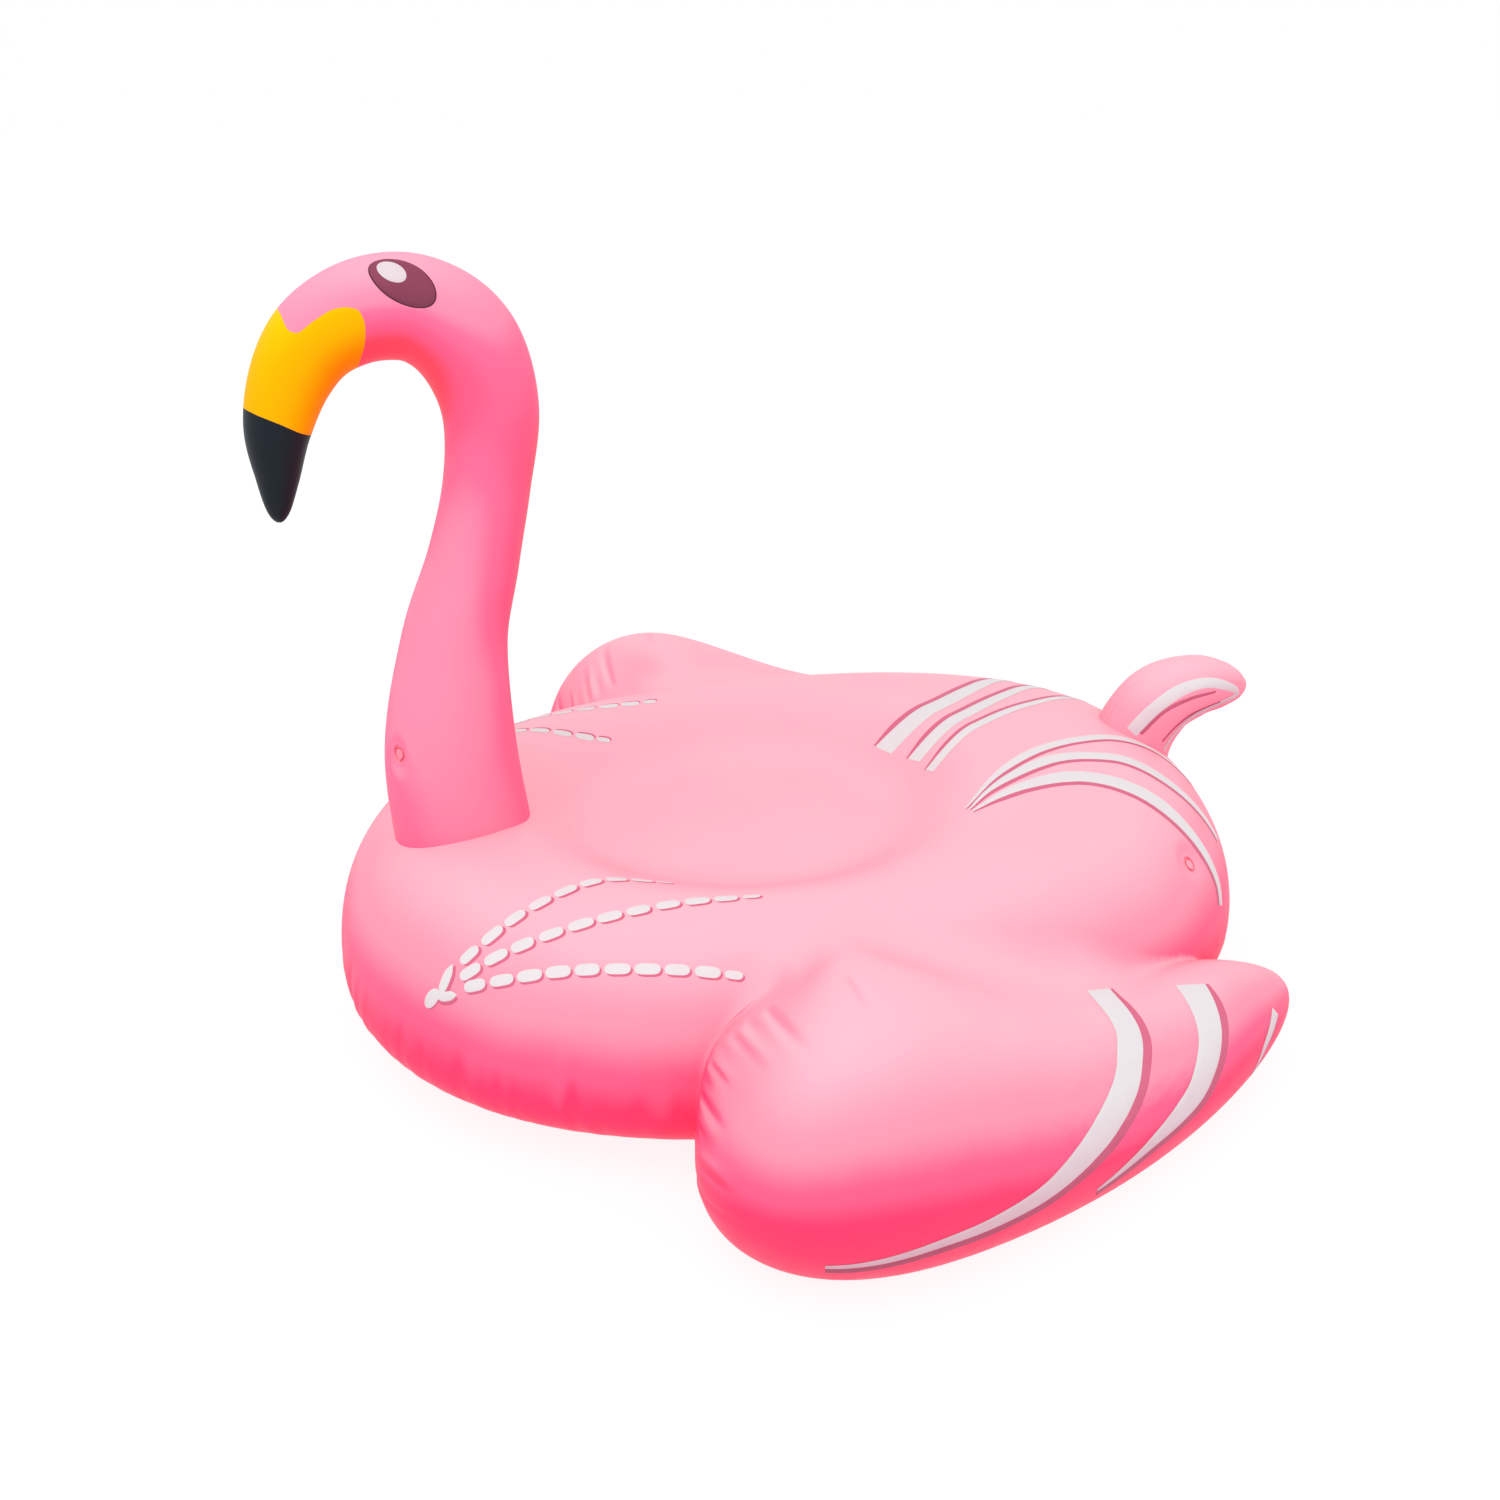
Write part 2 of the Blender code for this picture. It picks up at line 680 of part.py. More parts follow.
def add_cap(prefix, material, frame):
    """The plug cap, whose tongue pivots where its tether joins the stem."""
    outline = (
        (0.0, 0.0),
        (CAP_RADIUS, 0.0),
        (CAP_RADIUS, -CAP_THICKNESS),
        (PLUG_TOP_RADIUS, -CAP_THICKNESS),
        (PLUG_END_RADIUS, PLUG_END),
        (0.0, PLUG_END),
    )
    cap = revolved(f"{prefix}_cap", outline, material, frame, CAP_HINGE)
    cut(cap, box_tool(f"{prefix}_cap_tongue", CAP_TONGUE, frame, CAP_HINGE), "UNION")


def add_flap(prefix, material, frame):
    """The check flap that the chamber's air presses shut under the stem."""
    outline = (
        (0.0, FLAP_TOP),
        (FLAP_RADIUS, FLAP_TOP),
        (FLAP_RADIUS, FLAP_TOP - FLAP_THICKNESS),
        (0.0, FLAP_TOP - FLAP_THICKNESS),
    )
    revolved(f"{prefix}_flap", outline, material, frame, FLAP_HINGE)


def outer_hit(sheet, origin, direction):
    """Where a ray from outside first meets a sheet, and that facet's outward normal."""
    evaluated = sheet.evaluated_get(bpy.context.evaluated_depsgraph_get())
    tree = BVHTree.FromObject(evaluated, bpy.context.evaluated_depsgraph_get())
    place, normal, _, _ = tree.ray_cast(Vector(origin), Vector(direction))
    if normal.dot(Vector(direction)) > 0:
        normal = -normal
    return place, normal


def add_valve(prefix, sheet, origin, direction, finishes):
    """One valve, set in a sheet where a ray from outside meets it, its tether at the bottom."""
    place, normal = outer_hit(sheet, origin, direction)
    down = Vector((0.0, 0.0, -1.0))
    tether_side = (down - normal * down.dot(normal)).normalized()
    across = normal.cross(tether_side)
    turn = Matrix((tether_side, across, normal)).transposed().to_4x4()
    frame = bpy.data.objects.new(f"{prefix}_frame", None)
    bpy.context.scene.collection.objects.link(frame)
    frame.matrix_world = Matrix.Translation(place) @ turn
    bpy.context.view_layer.update()
    add_flange(prefix, finishes["valve"], frame)
    add_stem(prefix, finishes["valve"], frame)
    add_cap(prefix, finishes["valve"], frame)
    add_flap(prefix, finishes["valve"], frame)
    cut(sheet, rod_cutter(f"{prefix}_hole_cutter", place, normal, HOLE_RADIUS, HOLE_CUTTER_LENGTH))


def add_neck_valve(neck, finishes):
    sheet = bpy.data.objects["neck_left_panel"]
    nearest = int(np.argmin(np.abs(neck.samples[: CENTRE_LINE_STEPS * 2, 1] - NECK_VALVE_HEIGHT)))
    outward = Vector((math.sin(NECK_VALVE_TURN), -math.cos(NECK_VALVE_TURN), 0.0))
    centre = Vector((0.0, neck.samples[nearest, 0], NECK_VALVE_HEIGHT))
    add_valve("neck_valve", sheet, centre + outward * SEARCH_DISTANCE, -outward, finishes)


def add_body_valve(finishes):
    sheet = bpy.data.objects["body_top_panel"]
    plan = superellipse(np.array(BODY_VALVE_TURN))
    half_spans, _ = body_crest(BODY_VALVE_TURN)
    core = Vector((*(half_spans * plan), BODY_MIDDLE_HEIGHT))
    flat = math.cos(BODY_VALVE_RISE)
    outward = Vector((plan[0] * flat, plan[1] * flat, math.sin(BODY_VALVE_RISE))).normalized()
    add_valve("body_valve", sheet, core + outward * SEARCH_DISTANCE, -outward, finishes)


def drill_air_ports(body_top):
    port_y, port_z = WING_PORT
    wings = rod_cutter(
        "wing_port_cutter", (0.0, port_y, port_z), (1, 0, 0), WING_PORT_RADIUS, 3 * BODY_HALF_WIDTH
    )
    cut(body_top, wings)
    tail_place = (0.0, TAIL_PORT_Y, BODY_TOP_HEIGHT)
    cut(body_top, rod_cutter("tail_port_cutter", tail_place, (0, 0, 1), TAIL_PORT_RADIUS, BODY_TOP_HEIGHT))


def main():
    clear_scene()
    finishes = {
        "top": finish("pink_vinyl", PINK, 0.42),
        "bottom": finish("pink_vinyl_underside", DEEP_PINK, 0.45),
        "neck": finish("deep_pink_vinyl", DEEP_PINK, 0.42),
        "beak": finish("yellow_vinyl", YELLOW, 0.40),
        "beak_tip": finish("black_vinyl", BLACK, 0.35),
        "band": finish("plain_pink_vinyl", PINK, 0.50),
        "valve": finish("soft_clear_plastic", CLEAR_WHITE, 0.35),
    }
    envelope = add_body_envelope()
    body_top = add_body_top(finishes["top"])
    add_body_bottom(finishes["bottom"])
    add_seat_band(finishes["band"])
    add_wing("left", 1, finishes["top"], finishes["bottom"], envelope)
    add_wing("right", -1, finishes["top"], finishes["bottom"], envelope)
    neck = add_neck_and_beak(finishes, envelope)
    add_tail(finishes["top"], envelope)
    add_neck_valve(neck, finishes)
    add_body_valve(finishes)
    drill_air_ports(body_top)
    for sheet in bpy.data.objects:
        if sheet.name.endswith("_panel") and "BOOLEAN" in [step.type for step in sheet.modifiers]:
            close_slivers(sheet)


main()
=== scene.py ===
"""Looks of the inflatable flamingo pool float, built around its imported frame.

The body and both wings are one smooth skin. The neck with its head, the beak, the beak's
tip and the tail are skins of their own, and the prints are thin films that follow them.
Metres, +Z up; the bird faces -Y and its left wing is on +X.
"""

import json
import math

import bmesh
import bpy
import numpy as np
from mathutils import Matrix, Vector
from mathutils.bvhtree import BVHTree


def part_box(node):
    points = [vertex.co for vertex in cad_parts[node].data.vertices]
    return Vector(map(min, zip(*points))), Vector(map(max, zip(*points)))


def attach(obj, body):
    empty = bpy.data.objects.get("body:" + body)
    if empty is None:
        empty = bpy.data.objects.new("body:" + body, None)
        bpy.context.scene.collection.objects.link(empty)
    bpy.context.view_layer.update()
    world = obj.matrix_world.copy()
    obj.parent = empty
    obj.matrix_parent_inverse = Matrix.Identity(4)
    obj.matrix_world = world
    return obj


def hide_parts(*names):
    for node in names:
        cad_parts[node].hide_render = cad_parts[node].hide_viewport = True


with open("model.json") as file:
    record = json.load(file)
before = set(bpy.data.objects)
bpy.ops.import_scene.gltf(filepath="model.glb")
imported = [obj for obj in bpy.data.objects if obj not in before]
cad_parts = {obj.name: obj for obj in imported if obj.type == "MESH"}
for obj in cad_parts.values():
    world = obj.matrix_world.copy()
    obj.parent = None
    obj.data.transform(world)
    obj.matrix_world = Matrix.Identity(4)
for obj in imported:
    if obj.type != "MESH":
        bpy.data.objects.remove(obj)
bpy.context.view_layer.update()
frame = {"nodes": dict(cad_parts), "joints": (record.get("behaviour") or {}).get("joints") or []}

# ---- driving dimensions

_, body_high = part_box("body_top_panel")
band_low, band_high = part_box("seat_tie_band")

# Body: an oval cushion with a rounded rim and a seat hollow.
HALF_WIDTH = body_high.x
HALF_LENGTH = body_high.y
RIM = 0.178
MIDDLE_HEIGHT = 0.097
END_RISE = 0.01
SIDE_HEIGHT = body_high.z - END_RISE
SQUARENESS = 0.894
REAR_CROWN = 0.01
REAR_CROWN_WIDTH = 0.26
REAR_CROWN_RISE = (0.05, 0.4)
SEAT_HALF_WIDTH = band_high.x + 0.002
SEAT_HALF_LENGTH = (band_high.y - band_low.y) / 2 + 0.002
SEAT_CENTRE_Y = (band_high.y + band_low.y) / 2
SEAT_FLOOR = band_high.z + 0.002
SEAT_CROWN = 0.008
SEAT_INNER_EASE = 0.075
SEAT_OUTER_EASE = 0.105
BODY_SIDES = 280
BODY_ROWS = 90
BODY_LAST_RING = 0.02

# Wings: ellipses swept along a bent spine, resting on the ground.
WING_SHOULDER = (0.458, -0.21, 0.17)
WING_BEND = (0.57, -0.045, 0.066)
WING_TIP = (0.378, 0.543, 0.078)
WING_HALF_WIDTH = 0.226
WING_HALF_HEIGHT = 0.2
WING_WIDTH_TAPER = 0.66
WING_HEIGHT_TAPER = 0.5
WING_END_BLUNTNESS = 3.8
WING_END_SPREAD = 0.65
WING_SIDES = 120
WING_ROWS = 161

# Where a wing meets the body: a crisp weld at the front and the rear, a soft valley between.
ROOT_SOFT_HEIGHT = 0.228
ROOT_SOFT_DROP = 0.15
ROOT_DROP_ALONG = (-0.15, 0.02)
ROOT_SOFT_TO = 0.3
ROOT_FADE = 0.042
ROOT_SOFTNESS = 0.06
ROOT_CRISPNESS = 0.006

# The wing's shoulder swells over the front of its root.
SHOULDER_SWELL = 0.0285
SHOULDER_SWELL_AT = (0.425, -0.213, 0.187)
SHOULDER_SWELL_REACH = 0.08

# The top of a wing rises to a crest, and sags behind it.
WING_CREST = 0.004
WING_CREST_Y = -0.04
WING_CREST_REACH = 0.06
WING_SAG = 0.019
WING_SAG_IN = (0.0, 0.19)
WING_SAG_OUT = (0.27, 0.43)

# Perimeter weld, whose lip is turned out and down.
WELD_HEIGHT = 0.02
LIP_LENGTH = 0.007
LIP_DROP = math.radians(35)
LIP_THICKNESS = 0.0012
LIP_SIDES = 360
# Its profile: shares of the length and of the half thickness.
LIP_PROFILE = ((-0.3, 1.0), (0.5, 1.0), (0.9, 0.9), (1.0, 0.0), (0.9, -0.9), (0.5, -1.0), (-0.3, -1.0))

# Furrows that rise from the perimeter weld. Ranges are for random draws, or for a smooth fade.
RIM_SEED = 11
RIM_FURROWS = 78
RIM_FURROW_STRAY = 0.3
RIM_FURROW_WIDTH = (0.005, 0.01)
RIM_FURROW_DEPTH = (0.0006, 0.0019)
RIM_FURROW_TOP = (0.12, 0.185)
RIM_FURROW_FULL = 0.4
RIM_FURROW_FOOT = (0.035, 0.08)
RIM_FURROW_CLEARANCE = (0.01, 0.05)

# A furrow's soft shoulder: its height as a share of the depth, its place and width in widths.
FURROW_SHOULDER = 0.55
FURROW_SHOULDER_OFF = 2.0
FURROW_SHOULDER_WIDTH = 1.3

# Folds that fan out from a wing's root: where each leaves the weld, its length and its depth.
FOLD_SEED = 5
ROOT_FOLD_WIDTH = (0.0032, 0.0046)
ROOT_FOLD_SPREAD = 6
ROOT_FOLD_START = (-0.012, 0.012)
ROOT_FOLD_FULL = 0.35
ROOT_FOLD_NEAR = 0.1
ROOT_FOLD_NEAR_FADE = 0.02
ROOT_FOLD_OFF_BODY = (-0.001, 0.008)
ROOT_FOLD_ON_WING = 0.02
ROOT_FOLD_ALONG = (0.955, 0.02, 0.29)
ROOT_FOLDS = (
    ((0.489, -0.091, 0.291), 0.07, 0.001),
    ((0.455, -0.163, 0.239), 0.13, 0.0017),
    ((0.446, -0.181, 0.222), 0.06, 0.0007),
    ((0.457, -0.196, 0.209), 0.115, 0.0016),
    ((0.449, -0.212, 0.195), 0.06, 0.0008),
    ((0.462, -0.226, 0.184), 0.09, 0.0013),
    ((0.45, -0.236, 0.166), 0.06, 0.0009),
    ((0.47, -0.243, 0.156), 0.11, 0.0018),
    ((0.494, -0.254, 0.139), 0.075, 0.0012),
    ((0.47, -0.256, 0.12), 0.06, 0.001),
    ((0.535, -0.262, 0.125), 0.085, 0.0017),
    ((0.562, -0.262, 0.094), 0.06, 0.0013),
    ((0.5, -0.268, 0.08), 0.09, 0.0013),
)

# The material is told how deep a fold is as a share of this, for the fold's painted shade.
FOLD_UNIT = 0.002

# The skin's remeshing and smoothing.
SKIN_GRAIN = 0.0044
SETTLE_ROUNDS = 2
SMOOTH_BEFORE = 4
SMOOTH_AFTER = 2
SMOOTH_WEIGHT = 0.5
LEAST_STEEPNESS = 0.25

# Round sections of (y, z, radius) along the centre line: the neck with the head, and the tail.
NECK_SECTIONS = (
    (-0.442, 0.225, 0.088), (-0.45, 0.37, 0.082), (-0.433, 0.515, 0.064), (-0.402, 0.617, 0.054),
    (-0.378, 0.711, 0.0505), (-0.368, 0.797, 0.0555), (-0.389, 0.868, 0.0605), (-0.435, 0.905, 0.058),
    (-0.49, 0.908, 0.0545), (-0.543, 0.885, 0.049), (-0.578, 0.844, 0.0437), (-0.601, 0.788, 0.0365),
    (-0.609, 0.731, 0.024), (-0.613, 0.695, 0.0135), (-0.614, 0.68, 0.0),
)
TAIL_SECTIONS = (
    (0.5, 0.19, 0.066), (0.516, 0.27, 0.056), (0.549, 0.321, 0.053), (0.6, 0.339, 0.046),
    (0.645, 0.337, 0.0355), (0.676, 0.33, 0.02), (0.687, 0.325, 0.0),
)
# Printed edges of the beak and of its tip, as (angle, distance along the neck); the angle runs
# from the outside of the bend (0) round the side (90) to the inside (180).
BEAK_EDGE = (
    (0, 0.8415), (26, 0.8415), (40, 0.8435), (52, 0.8452), (60, 0.8435), (64.5, 0.8408), (66.3, 0.835),
    (66.8, 0.825), (67.0, 0.815), (67.4, 0.806), (68.8, 0.799), (71.5, 0.7915), (75, 0.786),
    (79, 0.7815), (86, 0.7795), (96, 0.78), (109, 0.7845), (123, 0.7925), (138, 0.804),
    (157, 0.816), (180, 0.822),
)
# Angles for extra columns where the beak's edge is steep: first, last, step.
STEEP_EDGE = (62.75, 74.0, 0.5)
BEAK_TIP_EDGE = ((0, 0.933), (45, 0.932), (90, 0.934), (135, 0.942), (180, 0.948))
SEAM_DEPTH = 0.0009
SEAM_WIDTH = 0.0022
SEAM_FADE = 0.03
SEAM_BESIDE = (-3.6, -1.6, -0.8, 0.8, 1.6, 3.6)
TUBE_SIDES = 144
TUBE_STEPS = 24
TANGENT_REACH = 0.004
EDGE_STEPS = 20
NECK_ROWS = 200
NECK_EASE = 8
BEAK_ROWS = 40
TAIL_ROWS = 56

# Plug valves: the cap's hinge from the valve's middle, the hole, and the eased skin round it.
CAP_HINGE_OUT = 0.0078
CAP_HINGE_DOWN = 0.00075
VALVE_HOLE = 0.011
VALVE_EASE = 0.034
SHEET_EDGE = 0.0005
# Reaches round a valve, in radii of its hole, and the cuts that refine the skin there.
VALVE_REFINED = 1.9
VALVE_FLAT = 1.25
VALVE_RIM = 1.6
VALVE_CUTS = 3
# How far the eased skin is looked for, in reaches of the ease.
VALVE_SEARCH = 1.2

# Camera, at the photograph's angle.
CAMERA_PLACE = (1.6348, -0.5127, 1.1447)
CAMERA_AZIMUTH = math.radians(74.54)
CAMERA_ELEVATION = math.radians(25.88)
CAMERA_LENS = 33.78

# Floor, and lights: name, place, size and power.
WHITE = (1.0, 1.0, 1.0, 1.0)
FLOOR_REACH = 30
FLOOR_DROP = 0.0006
FLOOR_COLOUR = (0.16, 0.16, 0.16, 1.0)
FLOOR_GLOW = 0.86
FLOOR_GLOSS = 0.1
FLOOR_MOTTLE = (3.0, 3.0)
FLOOR_ROUGHNESS = (0.85, 0.95)
LIGHTS = (("key_light", (0.9, -1.4, 3.0), 2.6, 30.0), ("fill_light", (2.6, 1.0, 2.0), 2.4, 12.0))
LIGHTS_AIM = (0.0, 0.0, 0.2)


# ---- small helpers


def smooth_step(value, low, high):
    share = np.clip((value - low) / (high - low), 0.0, 1.0)
    return share * share * (3 - 2 * share)


def full_turn(sides):
    """Even angles round a full turn."""
    return np.arange(sides) * 2 * math.pi / sides


def unit(vectors):
    return vectors / np.linalg.norm(vectors, axis=-1, keepdims=True)


def curve_through(knots, steps):
    """A smooth curve through knots of any width, with so many samples between two knots."""
    knots = np.array(knots, dtype=float)
    padded = np.vstack([2 * knots[0] - knots[1], knots, 2 * knots[-1] - knots[-2]])
    share = (np.arange(steps) / steps)[:, None]
    cube = share**3
    square = share**2
    pieces = []
    for first in range(len(knots) - 1):
        before, start, end, after = padded[first : first + 4]
        pieces.append(
            (2 * cube - 3 * square + 1) * start
            + (cube - 2 * square + share) * (end - before) / 2
            + (3 * square - 2 * cube) * end
            + (cube - square) * (after - start) / 2
        )
    return np.vstack(pieces + [knots[-1:]])


def mesh_object(name, points, faces, material=None):
    mesh = bpy.data.meshes.new(name)
    mesh.from_pydata([tuple(point) for point in points], [], [tuple(face) for face in faces])
    mesh.shade_smooth()
    if material:
        mesh.materials.append(material)
    made = bpy.data.objects.new(name, mesh)
    bpy.context.scene.collection.objects.link(made)
    return made


def grid_faces(rows, columns, wrap, start=0):
    """Quads of a grid of points, whose columns may wrap round."""
    last = columns if wrap else columns - 1
    row, column = np.meshgrid(np.arange(rows - 1), np.arange(last), indexing="ij")
    after = (column + 1) % columns
    low = row * columns
    high = low + columns
    quads = np.stack([low + column, low + after, high + after, high + column], -1)
    return (quads.reshape(-1, 4) + start).tolist()


def closed_surface(grid, start, end):
    """Points and faces of a stack of rings that closes on a point at both ends."""
    rows, columns, _ = grid.shape
    points = np.vstack([grid.reshape(-1, 3), [start], [end]])
    faces = grid_faces(rows, columns, wrap=True)
    first = rows * columns
    last_row = (rows - 1) * columns
    for column in range(columns):
        after = (column + 1) % columns
        faces.append((first, after, column))
        faces.append((first + 1, last_row + column, last_row + after))
    return points, faces


def vectors_of(items, field):
    vectors = np.empty(len(items) * 3)
    items.foreach_get(field, vectors)
    return vectors.reshape(-1, 3)


def set_points(mesh, points):
    mesh.vertices.foreach_set("co", points.ravel())
    mesh.update()


# ---- materials


class Shader:
    """A procedural material on one Principled surface."""

    def __init__(self, name):
        self.material = bpy.data.materials.new(name)
        self.material.use_nodes = True
        self.tree = self.material.node_tree
        self.surface = self.tree.nodes["Principled BSDF"]

    def node(self, kind, inputs=(), **settings):
        made = self.tree.nodes.new(kind)
        for setting, value in settings.items():
            setattr(made, setting, value)
        for socket, value in dict(inputs).items():
            self.plug(made, socket, value)
        return made

    def plug(self, node, socket, value):
        if isinstance(value, bpy.types.NodeSocket):
            self.tree.links.new(value, node.inputs[socket])
        else:
            node.inputs[socket].default_value = value

    def set(self, socket, value):
        self.plug(self.surface, socket, value)

    def maths(self, operation, first, second):
        return self.node("ShaderNodeMath", {0: first, 1: second}, operation=operation).outputs[0]

    def place(self):
        return self.node("ShaderNodeTexCoord").outputs["Object"]

    def upward(self):
        """How far the surface faces up, from -1 to 1."""
        normal = self.node("ShaderNodeNewGeometry").outputs["Normal"]
        return self.node("ShaderNodeSeparateXYZ", {0: normal}).outputs[2]

    def noise(self, scale, detail):
        inputs = {"Vector": self.place(), "Scale": scale, "Detail": detail}
        return self.node("ShaderNodeTexNoise", inputs).outputs["Fac"]

    def share(self, value, low, high):
        """Where a value lies between low and high, as a share in 0..1."""
        inputs = {"Value": value, "From Min": low, "From Max": high}
        return self.node("ShaderNodeMapRange", inputs).outputs["Result"]

    def spread(self, value, low, high):
        """Stretches a value in 0..1 onto low..high."""
        inputs = {"Value": value, "To Min": low, "To Max": high}
        return self.node("ShaderNodeMapRange", inputs).outputs["Result"]

    def ramp(self, value, stops):
        made = self.node("ShaderNodeValToRGB", {"Fac": value})
        made.color_ramp.interpolation = "EASE"
        while len(made.color_ramp.elements) < len(stops):
            made.color_ramp.elements.new(0.5)
        for element, (place, colour) in zip(made.color_ramp.elements, stops):
            element.position = place
            element.color = (*colour, 1.0)
        return made.outputs["Color"]

    def mix(self, share, first, second):
        made = self.node("ShaderNodeMix", data_type="RGBA")
        self.plug(made, 0, share)
        self.plug(made, 6, first)
        self.plug(made, 7, second)
        return made.outputs[2]

    def bump(self, heights):
        """Adds up bumps of (height, strength, distance)."""
        normal = None
        for height, strength, distance in heights:
            inputs = {"Height": height, "Strength": strength, "Distance": distance}
            if normal:
                inputs["Normal"] = normal
            normal = self.node("ShaderNodeBump", inputs).outputs["Normal"]
        self.set("Normal", normal)


def vinyl(name, shaded_to_lit, painted_edge_shade, gloss, painted_arch_shade=0.0, painted_low_shade=0.0):
    """Soft satin vinyl, with painted light where it faces up and painted shade where it faces down or
    turns away.
    """
    shader = Shader(name)
    # Painted light and shade: the tone follows how far the surface faces up.
    light_shade_and_mottle = shader.share(shader.upward(), *VINYL_FACING)
    # Painted shade toward the outline, where the surface turns away from the view.
    facing = shader.node("ShaderNodeLayerWeight", {"Blend": VINYL_EDGE_BLEND}).outputs["Facing"]
    # Painted shade in the folds and painted light on their raised shoulders, from the fold attribute.
    fold = shader.node("ShaderNodeAttribute", attribute_name="fold").outputs["Fac"]
    height = shader.node("ShaderNodeSeparateXYZ", {0: shader.place()}).outputs[2]
    # Painted shade that grows with height up the neck, deepening the dark under the head's arch.
    high = shader.share(height, *ARCH_SHADE_HEIGHTS)
    # Painted shade low down, near the floor.
    low = shader.share(height, *LOW_SHADE_HEIGHTS)
    light_shade_and_mottle = shader.maths("ADD", light_shade_and_mottle, shader.spread(shader.noise(*VINYL_MOTTLE), *VINYL_MOTTLE_TONE))
    for darker, amount in ((facing, painted_edge_shade), (high, painted_arch_shade), (low, painted_low_shade), (fold, FOLD_PAINTED_SHADE)):
        light_shade_and_mottle = shader.maths("SUBTRACT", light_shade_and_mottle, shader.maths("MULTIPLY", darker, amount))
    shader.set("Base Color", shader.ramp(light_shade_and_mottle, shaded_to_lit))
    shader.set("Roughness", shader.spread(shader.noise(*VINYL_SMEAR), *VINYL_ROUGHNESS))
    shader.set("Specular IOR Level", gloss)
    shader.bump(((shader.noise(*VINYL_RIPPLE), *RIPPLE_BUMP), (shader.noise(*VINYL_GRAIN), *GRAIN_BUMP)))
    return shader.material


def ink(name, colour, shade):
    """Printed ink: a thin film that is a little uneven and takes the vinyl's grain, with painted shade
    where it faces down.
    """
    shader = Shader(name)
    # Painted shade: the ink turns to its shade colour where it faces down.
    light_shade_and_mottle = shader.share(shader.upward(), *INK_FACING)
    light_shade_and_mottle = shader.maths("ADD", light_shade_and_mottle, shader.spread(shader.noise(*INK_MOTTLE), *INK_MOTTLE_TONE))
    shader.set("Base Color", shader.mix(light_shade_and_mottle, (*shade, 1.0), (*colour, 1.0)))
    shader.set("Roughness", shader.spread(shader.noise(*INK_SMEAR), *INK_ROUGHNESS))
    shader.set("Specular IOR Level", INK_GLOSS)
    shader.bump(((shader.noise(*VINYL_GRAIN), *GRAIN_BUMP),))
    return shader.material


# Painted light and shade in the vinyl's tone: facings and heights of its range, and how folds and
# mottling change it; folds add painted shade.
VINYL_FACING = (-0.85, 0.95)
VINYL_EDGE_BLEND = 0.45
ARCH_SHADE_HEIGHTS = (0.48, 0.78)
LOW_SHADE_HEIGHTS = (0.23, 0.05)
FOLD_PAINTED_SHADE = 0.16
VINYL_MOTTLE_TONE = (-0.05, 0.05)
VINYL_ROUGHNESS = (0.36, 0.52)
INK_FACING = (-0.5, 0.6)
INK_MOTTLE_TONE = (-0.12, 0.12)
INK_ROUGHNESS = (0.34, 0.5)
INK_GLOSS = 0.12

# Noises, as scale and detail, and bumps, as strength and distance.
VINYL_MOTTLE = (6.0, 3.0)
VINYL_SMEAR = (30.0, 5.0)
VINYL_RIPPLE = (24.0, 2.0)
VINYL_GRAIN = (1400.0, 2.0)
INK_MOTTLE = (40.0, 3.0)
INK_SMEAR = (160.0, 4.0)
RIPPLE_BUMP = (0.1, 0.004)
GRAIN_BUMP = (0.08, 0.0004)

# Colours of each vinyl, from its painted shade where it faces down to its painted light where it faces
# up.
PINK_SHADE_TO_LIGHT = (
    (0.0, (0.98, 0.03, 0.118)),
    (0.4, (1.0, 0.036, 0.136)),
    (0.56, (1.0, 0.1, 0.228)),
    (0.76, (1.0, 0.268, 0.372)),
    (1.0, (1.0, 0.425, 0.505)),
)
NECK_SHADE_TO_LIGHT = (
    (0.0, (1.0, 0.06, 0.112)),
    (0.2, (1.0, 0.1, 0.225)),
    (0.36, (1.0, 0.14, 0.285)),
    (0.5, (1.0, 0.235, 0.365)),
    (1.0, (1.0, 0.44, 0.52)),
)
TAIL_SHADE_TO_LIGHT = ((0.0, (1.0, 0.13, 0.24)), (0.5, (1.0, 0.25, 0.36)), (1.0, (1.0, 0.44, 0.52)))
YELLOW_SHADE_TO_LIGHT = ((0.0, (1.0, 0.22, 0.0)), (0.45, (1.0, 0.41, 0.0)), (1.0, (1.0, 0.6, 0.0)))
BLACK_SHADE_TO_LIGHT = ((0.0, (0.004, 0.008, 0.012)), (1.0, (0.008, 0.016, 0.024)))
VALVE_SHADE_TO_LIGHT = ((0.0, (0.9, 0.12, 0.23)), (0.5, (0.95, 0.22, 0.32)), (1.0, (1.0, 0.36, 0.45)))


